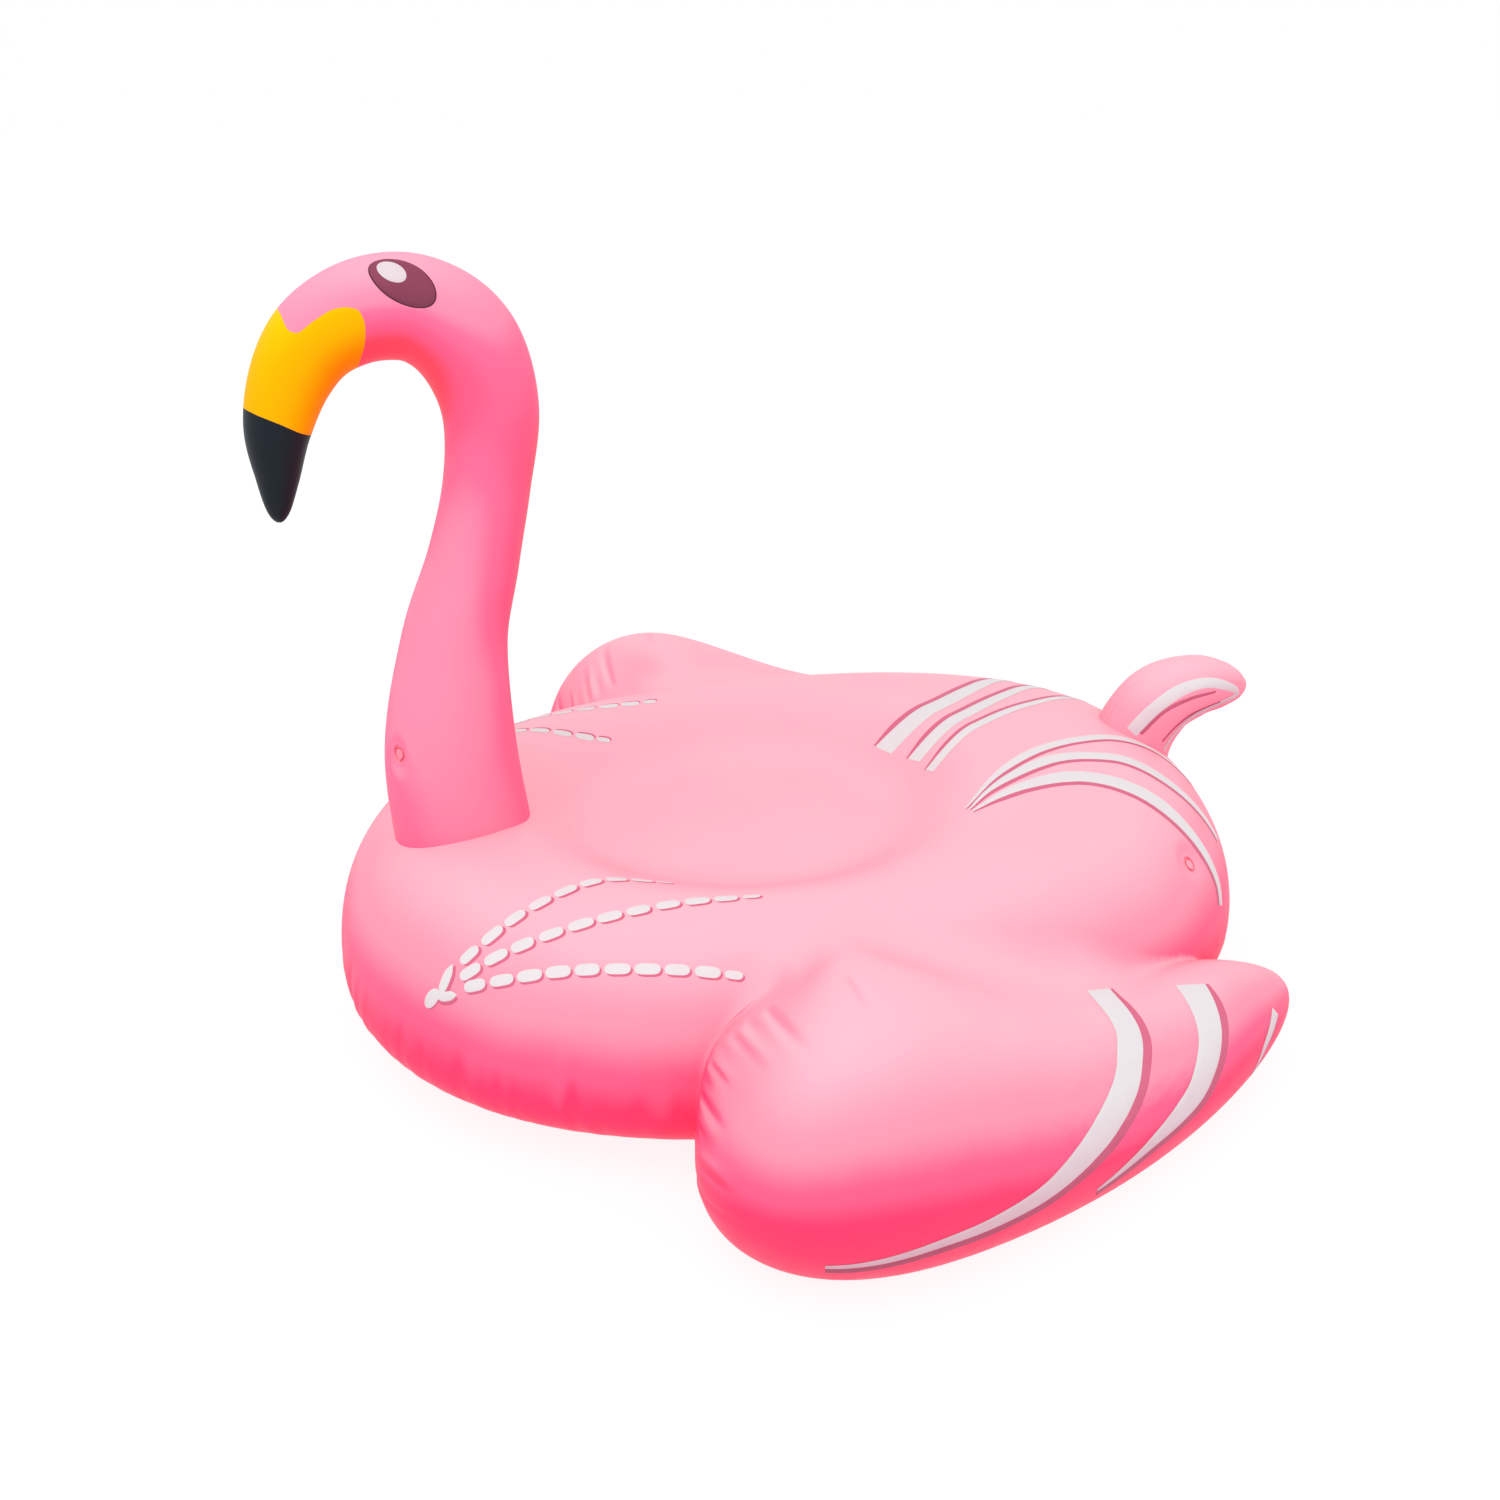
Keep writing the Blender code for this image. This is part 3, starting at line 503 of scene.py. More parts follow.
def build_materials():
    made = {}
    # Each vinyl's painted shade: toward its outline, higher up the neck and low down near the floor.
    made["body"] = vinyl("pink_vinyl_skin", PINK_SHADE_TO_LIGHT, painted_edge_shade=0.06, gloss=0.14, painted_low_shade=0.10)
    made["neck"] = vinyl("neck_vinyl_skin", NECK_SHADE_TO_LIGHT, painted_edge_shade=0.27, gloss=0.12, painted_arch_shade=0.12)
    made["tail"] = vinyl("tail_vinyl_skin", TAIL_SHADE_TO_LIGHT, painted_edge_shade=0.12, gloss=0.14)
    made["beak"] = vinyl("yellow_vinyl_skin", YELLOW_SHADE_TO_LIGHT, painted_edge_shade=0.15, gloss=0.03)
    made["tip"] = vinyl("black_vinyl_skin", BLACK_SHADE_TO_LIGHT, painted_edge_shade=0.2, gloss=0.16)
    made["white"] = ink("white_ink", (0.68, 0.64, 0.655), (0.62, 0.30, 0.39))
    made["glint"] = ink("glint_ink", (0.62, 0.53, 0.56), (0.58, 0.44, 0.49))
    made["shadow"] = ink("shadow_ink", (0.62, 0.13, 0.22), (0.36, 0.03, 0.09))
    made["eye"] = ink("eye_ink", (0.22, 0.042, 0.080), (0.13, 0.03, 0.06))
    made["eye_rim"] = ink("eye_rim_ink", (0.07, 0.02, 0.04), (0.07, 0.02, 0.04))
    made["valve"] = vinyl("valve_plastic_gloss", VALVE_SHADE_TO_LIGHT, painted_edge_shade=0.1, gloss=0.25)
    return made


# ---- body surface


def outline(turn):
    """Plan direction of the body's outline, slightly squarer than an ellipse."""
    cosine = np.cos(turn)
    sine = np.sin(turn)
    x = np.sign(cosine) * np.abs(cosine) ** SQUARENESS
    y = np.sign(sine) * np.abs(sine) ** SQUARENESS
    return x, y


def deck_height(x, y, turn):
    """Height of the body's top before the seat is pressed into it."""
    crown = REAR_CROWN * np.exp(-((x / REAR_CROWN_WIDTH) ** 2)) * smooth_step(y, *REAR_CROWN_RISE)
    return SIDE_HEIGHT + END_RISE * np.sin(turn) ** 2 + crown


def press_seat(grid):
    """Presses the seat hollow into the points of the body's top."""
    x, y, z = np.moveaxis(grid, -1, 0)
    across = np.hypot(x / SEAT_HALF_WIDTH, (y - SEAT_CENTRE_Y) / SEAT_HALF_LENGTH)
    outside = (across - 1) * SEAT_HALF_WIDTH
    share = 1 - smooth_step(outside, -SEAT_INNER_EASE, SEAT_OUTER_EASE)
    floor = SEAT_FLOOR + SEAT_CROWN * (1 - np.clip(across, 0.0, 1.0) ** 2)
    grid[..., 2] = np.where(z > MIDDLE_HEIGHT, z + (floor - z) * share, z)


def body_surface():
    turn = full_turn(BODY_SIDES)
    direction_x, direction_y = outline(turn)
    rings = []
    for rise in np.linspace(-math.pi / 2, math.pi / 2, BODY_ROWS):
        reach = RIM * math.cos(rise)
        x = direction_x * (HALF_WIDTH - RIM + reach)
        y = direction_y * (HALF_LENGTH - RIM + reach)
        above = deck_height(x, y, turn) - MIDDLE_HEIGHT
        swell = np.where(rise > 0, above, MIDDLE_HEIGHT)
        rings.append(np.stack([x, y, MIDDLE_HEIGHT + swell * math.sin(rise)], -1))
    for share in np.linspace(1.0, BODY_LAST_RING, BODY_ROWS)[1:]:
        x = direction_x * (HALF_WIDTH - RIM) * share
        y = direction_y * (HALF_LENGTH - RIM) * share + SEAT_CENTRE_Y * (1 - share)
        rings.append(np.stack([x, y, deck_height(x, y, turn)], -1))
    grid = np.array(rings)
    press_seat(grid)
    return closed_surface(grid, (0.0, 0.0, 0.0), grid[-1].mean(axis=0))


# ---- wing surface


def wing_spine(along):
    """Points, side and upward directions of the left wing's spine, for an array of shares."""
    share = along[..., None]
    shoulder, bend, tip = (np.array(place) for place in (WING_SHOULDER, WING_BEND, WING_TIP))
    point = (1 - share) ** 2 * shoulder + 2 * share * (1 - share) * bend + share**2 * tip
    forward = unit((1 - share) * (bend - shoulder) + share * (tip - bend))
    side = unit(np.cross(forward, (0.0, 0.0, 1.0)))
    return point, side, np.cross(side, forward)


def wing_surface(mirror):
    """One wing as a closed surface, with rings from its shoulder to its tip."""
    turn = -full_turn(WING_SIDES)
    reach = -np.cos(np.linspace(0.0, math.pi, WING_ROWS + 2))[1:-1]
    span = np.sign(reach) * np.abs(reach) ** WING_END_SPREAD
    along = (span + 1) / 2
    fullness = np.sqrt(1 - np.abs(span) ** WING_END_BLUNTNESS)
    point, side, up = wing_spine(along)
    width = WING_HALF_WIDTH * fullness * (1 - WING_WIDTH_TAPER * along)
    height = WING_HALF_HEIGHT * fullness * (1 - WING_HEIGHT_TAPER * along)
    grid = (
        point[:, None]
        + side[:, None] * (width[:, None] * np.cos(turn))[..., None]
        + up[:, None] * (height[:, None] * np.sin(turn))[..., None]
    )
    ends = wing_spine(np.array([0.0, 1.0]))[0]
    points, faces = closed_surface(grid, ends[0], ends[1])
    points[:, 0] *= mirror
    points[:, 2] = np.maximum(points[:, 2], 0.0)
    if mirror < 0:
        faces = [tuple(reversed(face)) for face in faces]
    return points, faces


# ---- one skin from the three


class Distance:
    """Signed distance to a closed surface, and its outward direction, at many points."""

    def __init__(self, surface):
        points, faces = surface
        self.tree = BVHTree.FromPolygons([tuple(point) for point in points], faces)

    def at(self, places):
        distances = np.empty(len(places))
        normals = np.empty((len(places), 3))
        for index, place in enumerate(places):
            nearest, normal, _, _ = self.tree.find_nearest(place)
            distances[index] = (Vector(place) - nearest).dot(normal)
            normals[index] = normal
        return distances, normals


def on_left(places):
    """The places, with those on the right side mirrored to the left."""
    return places * np.where(places[:, :1] < 0, (-1.0, 1.0, 1.0), 1.0)


def root_softness(places):
    """How widely the body and a wing run into each other at these places."""
    start = ROOT_SOFT_HEIGHT - ROOT_SOFT_DROP * smooth_step(places[:, 1], *ROOT_DROP_ALONG)
    soft = smooth_step(places[:, 2], start - ROOT_FADE, start + ROOT_FADE)
    rear_fade = 2 * ROOT_FADE
    soft = soft * (1 - smooth_step(places[:, 1], ROOT_SOFT_TO - rear_fade, ROOT_SOFT_TO + rear_fade))
    return ROOT_CRISPNESS + (ROOT_SOFTNESS - ROOT_CRISPNESS) * soft


def wing_sag(y):
    """How far the top of a wing lies below its plain shape, along its length."""
    sag = smooth_step(y, *WING_SAG_IN) * (1 - smooth_step(y, *WING_SAG_OUT))
    return WING_SAG * sag - WING_CREST * np.exp(-(((y - WING_CREST_Y) / WING_CREST_REACH) ** 2))


def settle(places, body, wings):
    """Moves points onto the smooth union of the body and the wing on their own side."""
    to_body, body_normals = body.at(places)
    to_wing = np.empty(len(places))
    wing_normals = np.empty((len(places), 3))
    for mirror, wing in wings.items():
        mine = places[:, 0] >= 0 if mirror > 0 else places[:, 0] < 0
        to_wing[mine], wing_normals[mine] = wing.at(places[mine])
    shoulder = np.linalg.norm(on_left(places) - SHOULDER_SWELL_AT, axis=1)
    to_wing -= SHOULDER_SWELL * np.exp(-((shoulder / SHOULDER_SWELL_REACH) ** 2))
    to_wing += wing_sag(places[:, 1]) * np.clip(wing_normals[:, 2], 0.0, 1.0)
    reach = root_softness(places)
    mix = np.clip(0.5 + 0.5 * (to_wing - to_body) / reach, 0.0, 1.0)
    gap = to_wing * (1 - mix) + to_body * mix - reach * mix * (1 - mix)
    slope = wing_normals * (1 - mix)[:, None] + body_normals * mix[:, None]
    steepness = np.maximum(np.sum(slope**2, axis=1), LEAST_STEEPNESS)
    return places - slope * (gap / steepness)[:, None], to_body, to_wing


def remeshed(name, surfaces, grain):
    """One closed mesh of even quads round the union of closed surfaces."""
    points = []
    faces = []
    for part_points, part_faces in surfaces:
        shift = len(points)
        points.extend(part_points)
        faces.extend([tuple(index + shift for index in face) for face in part_faces])
    draft = mesh_object(name + "_draft", points, faces)
    voxels = draft.modifiers.new("voxels", "REMESH")
    voxels.mode = "VOXEL"
    voxels.voxel_size = grain
    graph = bpy.context.evaluated_depsgraph_get()
    mesh = bpy.data.meshes.new_from_object(draft.evaluated_get(graph))
    bpy.data.objects.remove(draft, do_unlink=True)
    mesh.name = name
    mesh.shade_smooth()
    return mesh


def smoothed(mesh, places, rounds, weight):
    """Evens out places along the mesh's edges; weight says how much each may move."""
    edges = np.empty(len(mesh.edges) * 2, dtype=np.int64)
    mesh.edges.foreach_get("vertices", edges)
    first, second = edges.reshape(-1, 2).T
    count = np.bincount(edges, minlength=len(places))[:, None]
    for _ in range(rounds):
        total = np.zeros_like(places)
        for axis in range(3):
            total[:, axis] += np.bincount(first, places[second, axis], len(places))
            total[:, axis] += np.bincount(second, places[first, axis], len(places))
        places = places + (total / count - places) * weight
    return places


# ---- puckers


def furrow(offset, width, lean):
    """Profile of a fold: a narrow valley with a soft shoulder on one side."""
    valley = -np.exp(-((offset / width) ** 2))
    off = offset - lean * FURROW_SHOULDER_OFF * width
    return valley + FURROW_SHOULDER * np.exp(-((off / (FURROW_SHOULDER_WIDTH * width)) ** 2))


def rim_pucker(places, to_body, to_wing):
    """Height of the soft vertical furrows that rise from the body's perimeter weld."""
    chance = np.random.default_rng(RIM_SEED)
    turn = np.arctan2(places[:, 1] / HALF_LENGTH, places[:, 0] / HALF_WIDTH)
    mean_radius = (HALF_WIDTH + HALF_LENGTH) / 2
    height = np.zeros(len(places))
    strays = chance.uniform(-RIM_FURROW_STRAY, RIM_FURROW_STRAY, RIM_FURROWS)
    for spot in (np.arange(RIM_FURROWS) + strays) * 2 * math.pi / RIM_FURROWS:
        width = chance.uniform(*RIM_FURROW_WIDTH)
        depth = chance.uniform(*RIM_FURROW_DEPTH)
        top = chance.uniform(*RIM_FURROW_TOP)
        lean = chance.choice((-1.0, 1.0))
        off = (np.mod(turn - spot + math.pi, 2 * math.pi) - math.pi) * mean_radius
        fade = 1 - smooth_step(places[:, 2], RIM_FURROW_FULL * top, top)
        height += depth * furrow(off, width, lean) * fade
    on_body = smooth_step(to_wing - to_body, *RIM_FURROW_CLEARANCE)
    return height * on_body * smooth_step(places[:, 2], *RIM_FURROW_FOOT)


def root_pucker(places, to_body, to_wing, wing):
    """Height of the folds that run out from the root of each wing, round its front."""
    chance = np.random.default_rng(FOLD_SEED)
    starts = np.array([start for start, _, _ in ROOT_FOLDS])
    _, facings = wing.at(starts)
    along = unit(np.array(ROOT_FOLD_ALONG))
    height = np.zeros(len(places))
    for (start, length, depth), facing in zip(ROOT_FOLDS, facings):
        width = chance.uniform(*ROOT_FOLD_WIDTH)
        lean = chance.choice((-1.0, 1.0))
        away = on_left(places) - start
        run = away @ along
        off = away @ unit(np.cross(along, facing))
        fade = smooth_step(run, *ROOT_FOLD_START)
        fade = fade * (1 - smooth_step(run, ROOT_FOLD_FULL * length, length))
        near = smooth_step(ROOT_FOLD_NEAR - np.abs(away @ facing), 0.0, ROOT_FOLD_NEAR_FADE)
        spread = width * (1 + ROOT_FOLD_SPREAD * np.maximum(run, 0.0))
        height += depth * furrow(off, spread, lean) * fade * near
    return height * smooth_step(to_body, *ROOT_FOLD_OFF_BODY) * (to_wing < ROOT_FOLD_ON_WING)


def mark_folds(mesh, lift):
    """Tells the vinyl's material where and how deep the skin is folded in, for painted shade in the
    folds and painted light on their raised shoulders.
    """
    folds = mesh.attributes.new("fold", "FLOAT", "POINT")
    folds.data.foreach_set("value", np.clip(-lift / FOLD_UNIT, -1.0, 1.0))


def build_skin(material):
    surfaces = {0: body_surface(), 1: wing_surface(1), -1: wing_surface(-1)}
    mesh = remeshed("body_and_wings_skin", surfaces.values(), SKIN_GRAIN)
    body = Distance(surfaces[0])
    wings = {side: Distance(surfaces[side]) for side in (1, -1)}
    places = vectors_of(mesh.vertices, "co")
    for _ in range(SETTLE_ROUNDS):
        places = smoothed(mesh, places, SMOOTH_BEFORE, SMOOTH_WEIGHT)
        places, to_body, to_wing = settle(places, body, wings)
    places = smoothed(mesh, places, SMOOTH_AFTER, SMOOTH_WEIGHT)
    set_points(mesh, places)
    lift = rim_pucker(places, to_body, to_wing) + root_pucker(places, to_body, to_wing, wings[1])
    mark_folds(mesh, lift)
    places = places + vectors_of(mesh.vertex_normals, "vector") * lift[:, None]
    places[:, 2] = np.maximum(places[:, 2], 0.0)
    set_points(mesh, places)
    mesh.materials.clear()
    mesh.materials.append(material)
    skin = bpy.data.objects.new(mesh.name, mesh)
    bpy.context.scene.collection.objects.link(skin)
    return skin


def build_body_lip(material):
    """The thin welded lip round the body, turned out and down."""
    x, y = outline(full_turn(LIP_SIDES))
    reach = RIM * math.cos(math.asin((WELD_HEIGHT - MIDDLE_HEIGHT) / MIDDLE_HEIGHT))
    height = np.full(LIP_SIDES, WELD_HEIGHT)
    weld = np.stack([x * (HALF_WIDTH - RIM + reach), y * (HALF_LENGTH - RIM + reach), height], -1)
    along = np.roll(weld, -1, axis=0) - np.roll(weld, 1, axis=0)
    outward = unit(np.cross(along, (0.0, 0.0, 1.0)))
    run = outward * math.cos(LIP_DROP) - np.array([0.0, 0.0, math.sin(LIP_DROP)])
    across = np.array([0.0, 0.0, LIP_THICKNESS / 2])
    rows = [weld + run * LIP_LENGTH * out + across * side for out, side in LIP_PROFILE]
    grid = np.array(rows + rows[:1])
    faces = grid_faces(len(grid), LIP_SIDES, wrap=True)
    return mesh_object("body_weld_lip", grid.reshape(-1, 3), faces, material)


# ---- round tubes


class Tube:
    """A round tube in the plane x = 0, through sections of (y, z, radius)."""

    def __init__(self, sections):
        squared = [(y, z, radius**2) for y, z, radius in sections]
        self.samples = curve_through(squared, TUBE_STEPS)
        self.samples[:, 2] = np.sqrt(np.maximum(self.samples[:, 2], 0.0))
        hops = np.linalg.norm(np.diff(self.samples[:, :2], axis=0), axis=1)
        self.distances = np.concatenate([[0.0], np.cumsum(hops)])
        self.length = self.distances[-1]

    def at(self, distance):
        return [np.interp(distance, self.distances, self.samples[:, axis]) for axis in range(3)]

    def point(self, distance, angle):
        """Points at distances along the tube and angles from its outer bend (0) to its inner bend."""
        y, z, radius = self.at(distance)
        y_before, z_before, _ = self.at(distance - TANGENT_REACH)
        y_after, z_after, _ = self.at(distance + TANGENT_REACH)
        along = unit(np.stack([y_after - y_before, z_after - z_before], -1))
        to_seam = np.minimum(np.abs(np.sin(angle)), 1.0) * radius
        seam = SEAM_DEPTH * np.exp(-((to_seam / SEAM_WIDTH) ** 2))
        radius = radius - seam * smooth_step(radius, 0.0, SEAM_FADE)
        outer = radius * np.cos(angle)
        x = radius * np.sin(angle)
        return np.stack([x, y + outer * along[..., 1], z - outer * along[..., 0]], -1)


def tube_angles():
    """Angles round a tube, closer together beside its two seams and where the beak's edge is steep."""
    beside = np.radians(SEAM_BESIDE)
    steep = np.radians(np.arange(*STEEP_EDGE))
    angles = np.concatenate([full_turn(TUBE_SIDES), beside, math.pi + beside, steep, -steep])
    return np.unique(np.round(np.mod(angles, 2 * math.pi), 4))


def printed_edge(knots, angles):
    """Distance along the tube of a printed edge at each angle."""
    fine = curve_through(knots, EDGE_STEPS)
    half_turn = 180 - np.abs(180 - np.degrees(angles))
    return np.interp(half_turn, np.maximum.accumulate(fine[:, 0]), fine[:, 1])


def tube_skin(name, tube, start, end, rows, material, closed=False, ease=1):
    """A stretch of tube between two edges, each a plain distance or the knots of a printed edge.

    Rows straighten out away from a printed edge, and the higher ease is, the sooner.
    """
    angles = tube_angles()
    share = np.linspace(0.0, 1.0, rows)[:, None]
    if closed:
        share = np.sin(share * math.pi / 2)[:-1]
    first = start if isinstance(start, float) else printed_edge(start, angles)
    last = end if isinstance(end, float) else printed_edge(end, angles)
    plain_first = np.mean(first)
    plain_last = np.mean(last)
    distance = plain_first + (plain_last - plain_first) * share + 0 * angles
    distance = distance + (first - plain_first) * (1 - share) ** ease + (last - plain_last) * share**ease
    grid = tube.point(distance, angles[None, :])
    rows, columns, _ = grid.shape
    points = grid.reshape(-1, 3)
    faces = grid_faces(rows, columns, wrap=True)
    if closed:
        y, z, _ = tube.samples[-1]
        points = np.vstack([points, [(0.0, y, z)]])
        last_row = (rows - 1) * columns
        for column in range(columns):
            after = (column + 1) % columns
            faces.append((last_row + column, last_row + after, rows * columns))
    faces = [tuple(reversed(face)) for face in faces]
    return mesh_object(name, points, faces, material)


def build_neck(materials):
    tube = Tube(NECK_SECTIONS)
    end = float(tube.length)
    neck = tube_skin("neck_skin", tube, 0.0, BEAK_EDGE, NECK_ROWS, materials["neck"], ease=NECK_EASE)
    beak = tube_skin("beak_skin", tube, BEAK_EDGE, BEAK_TIP_EDGE, BEAK_ROWS, materials["beak"])
    tip = tube_skin("beak_tip_skin", tube, BEAK_TIP_EDGE, end, BEAK_ROWS, materials["tip"], closed=True)
    return {"neck": neck, "beak": beak, "tip": tip}


def build_tail(material):
    tail = Tube(TAIL_SECTIONS)
    return tube_skin("tail_skin", tail, 0.0, float(tail.length), TAIL_ROWS, material, closed=True)


# ---- valves


class Valve:
    """Where a plug valve sits: its middle on the sheet's outer face, and the way it points."""

    def __init__(self, name):
        joints = {joint["name"]: joint for joint in frame["joints"]}
        self.normal = np.array(joints[name + "_stem_pull"]["axis"])
        tether = np.cross(joints[name + "_cap_swing"]["axis"], self.normal)
        hinge = np.array(joints[name + "_cap_swing"]["pos_m"])
        self.middle = hinge - CAP_HINGE_OUT * tether + CAP_HINGE_DOWN * self.normal

    def measure(self, places):
        """Heights over the valve's face, distances from its axis, and the offsets along the face."""
        away = places - self.middle
        height = away @ self.normal
        flat = away - height[:, None] * self.normal
        return height, np.linalg.norm(flat, axis=1), flat


def seat_valve(skin, valve):
    """Eases the skin flat round a valve and opens a round hole for it, with the sheet's edge."""
    mesh = bmesh.new()
    mesh.from_mesh(skin.data)
    middle = Vector(valve.middle)
    near = {v for v in mesh.verts if (v.co - middle).length < VALVE_HOLE * VALVE_REFINED}
    edges = [edge for edge in mesh.edges if edge.verts[0] in near and edge.verts[1] in near]
    bmesh.ops.subdivide_edges(mesh, edges=edges, cuts=VALVE_CUTS, use_grid_fill=True)
    close = [v for v in mesh.verts if (v.co - middle).length < VALVE_EASE * VALVE_SEARCH]
    height, radius, _ = valve.measure(np.array([v.co for v in close]))
    ease = 1 - smooth_step(radius, VALVE_HOLE * VALVE_FLAT, VALVE_EASE)
    for vert, drop in zip(close, height * ease):
        vert.co -= Vector(valve.normal * drop)
    gone = [f for f in mesh.faces if (f.calc_center_median() - middle).length < VALVE_HOLE]
    bmesh.ops.delete(mesh, geom=gone, context="FACES")
    rim = [edge for edge in mesh.edges if edge.is_boundary]
    rim = [edge for edge in rim if (edge.verts[0].co - middle).length < VALVE_HOLE * VALVE_RIM]
    ring = list(dict.fromkeys(vert for edge in rim for vert in edge.verts))
    _, _, flat = valve.measure(np.array([v.co for v in ring]))
    for vert, place in zip(ring, valve.middle + unit(flat) * VALVE_HOLE):
        vert.co = place
    # Made one by one, because an extrusion gives its faces in another order on each run.
    inner = {}
    for vert in (vert for edge in rim for vert in edge.verts):
        if vert not in inner:
            inner[vert] = mesh.verts.new(vert.co - Vector(valve.normal * SHEET_EDGE))
    for first, second in (edge.verts for edge in rim):
        mesh.faces.new((first, second, inner[second], inner[first]))
    bmesh.ops.recalc_face_normals(mesh, faces=mesh.faces)
    for face in mesh.faces:
        face.smooth = True
    mesh.to_mesh(skin.data)
    mesh.free()


# ---- prints

# Along its edge, a film is lifted off the skin by this share of its lift.
EDGE_LIFT = 0.45
# Samples between two knots of a line, and the fewest stretches of an even line.
LINE_STEPS = 30
LINE_LEAST = 4


class Print:
    """Thin films of one ink that follow a skin."""

    def __init__(self, name, skin, material, lift):
        self.tree = BVHTree.FromObject(skin, bpy.context.evaluated_depsgraph_get())
        self.name = name
        self.material = material
        self.lift = lift
        self.points = []
        self.faces = []

    def snap(self, place, lift):
        nearest, normal, _, _ = self.tree.find_nearest(Vector(place))
        return np.array(nearest + normal * lift)

    def normal(self, place):
        return np.array(self.tree.find_nearest(Vector(place))[1])

    def band(self, line, left, right, columns):
        """A film along a line, from left to right of it; left and right may change along it."""
        along = unit(np.gradient(line, axis=0))
        normals = np.array([self.normal(place) for place in line])
        side = unit(np.cross(along, normals))
        shares = np.linspace(0.0, 1.0, columns)
        start = len(self.points)
        for row, place in enumerate(line):
            for share in shares:
                offset = left[row] + (right[row] - left[row]) * share
                at_edge = share in (0.0, 1.0) or row in (0, len(line) - 1)
                lift = self.lift * (EDGE_LIFT if at_edge else 1.0)
                self.points.append(self.snap(place + side[row] * offset, lift))
        self.faces += grid_faces(len(line), columns, wrap=False, start=start)

    def oval(self, centre, direction, half_long, half_short, rings, sides):
        """An oval film round a place on the skin, longest along a direction."""
        normal = self.normal(centre)
        long_way = unit(direction - normal * np.dot(direction, normal))
        short_way = np.cross(normal, long_way)
        start = len(self.points)
        self.points.append(self.snap(centre, self.lift))
        for ring in range(1, rings + 1):
            share = ring / rings
            lift = self.lift * (EDGE_LIFT if ring == rings else 1.0)
            for angle in full_turn(sides):
                place = centre + long_way * half_long * share * math.cos(angle)
                place = place + short_way * half_short * share * math.sin(angle)
                self.points.append(self.snap(place, lift))
        for column in range(sides):
            self.faces.append((start, start + 1 + column, start + 1 + (column + 1) % sides))
        self.faces += grid_faces(rings, sides, wrap=True, start=start + 1)

    def done(self):
        """Makes the film, facing outward, and rides it on the float."""
        made = mesh_object(self.name, self.points, self.faces, self.material)
        mesh = bmesh.new()
        mesh.from_mesh(made.data)
        for face in mesh.faces:
            if face.normal.dot(Vector(self.normal(face.calc_center_median()))) < 0:
                face.normal_flip()
        mesh.to_mesh(made.data)
        mesh.free()
        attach(made, "root")


def even_line(knots, spacing, mirror=1):
    """A smooth line through knots, sampled evenly."""
    fine = curve_through(knots, LINE_STEPS)
    fine[:, 0] *= mirror
    hops = np.linalg.norm(np.diff(fine, axis=0), axis=1)
    distance = np.concatenate([[0.0], np.cumsum(hops)])
    count = max(int(distance[-1] / spacing), LINE_LEAST)
    stops = np.linspace(0.0, distance[-1], count + 1)
    return np.stack([np.interp(stops, distance, fine[:, axis]) for axis in range(3)], -1)


def along_line(knots, count):
    """Values of (share, value) knots, spread over a line's points."""
    knots = np.array(knots)
    return np.interp(np.linspace(0.0, 1.0, count), knots[:, 0], knots[:, 1])


# Dashed feather lines at the front of the body's left side, mirrored to its right: knots, numbers
# of dashes, and random ranges for their lengths and widths as shares of the usual ones.
DASH_LINES = (
    (
        (0.258, -0.474, 0.226), (0.254, -0.446, 0.245), (0.243, -0.401, 0.269), (0.233, -0.365, 0.279),
        (0.22, -0.322, 0.283), (0.209, -0.275, 0.279), (0.202, -0.205, 0.268),
    ),
    (
        (0.269, -0.476, 0.213), (0.276, -0.43, 0.24), (0.281, -0.38, 0.259), (0.283, -0.31, 0.274),
        (0.284, -0.22, 0.279), (0.29, -0.12, 0.28),
    ),
    (
        (0.28, -0.474, 0.207), (0.299, -0.431, 0.222), (0.325, -0.362, 0.239), (0.35, -0.292, 0.246),
        (0.371, -0.226, 0.245), (0.391, -0.168, 0.239),
    ),
)
DASHES = (9, 11, 10)
DASH_SEED = 3
DASH_SPACING = 0.001
DASH_WIDTH = 0.0136
DASH_FILL = 0.86
DASH_LAST = 0.72
DASH_LENGTHS = (0.95, 1.05)
DASH_WIDTHS = (0.94, 1.04)
DASH_BLUNTNESS = 4.0
DASH_ROWS = 15
DASH_COLUMNS = 7
SHADOW_SHIFT = 0.003
SHADOW_BACK = 0.0024
SHADOW_DOWN = 0.0018

# The drop and the forked dash from which the lines spring: the drop's place, slant, half length,
# half width, rings and sides, and the ends and the half width of each arm of the fork.
DROP = (0.258, -0.509, 0.184)
DROP_SLANT = (0.25, 0.35, 0.9)
DROP_OVAL = (0.0135, 0.0085, 5, 28)
FORK = (
    ((0.2655, -0.502, 0.189), (0.253, -0.483, 0.2235), 0.0062),
    ((0.263, -0.504, 0.187), (0.28, -0.483, 0.199), 0.0056),
)
FORK_SPACING = 0.0025

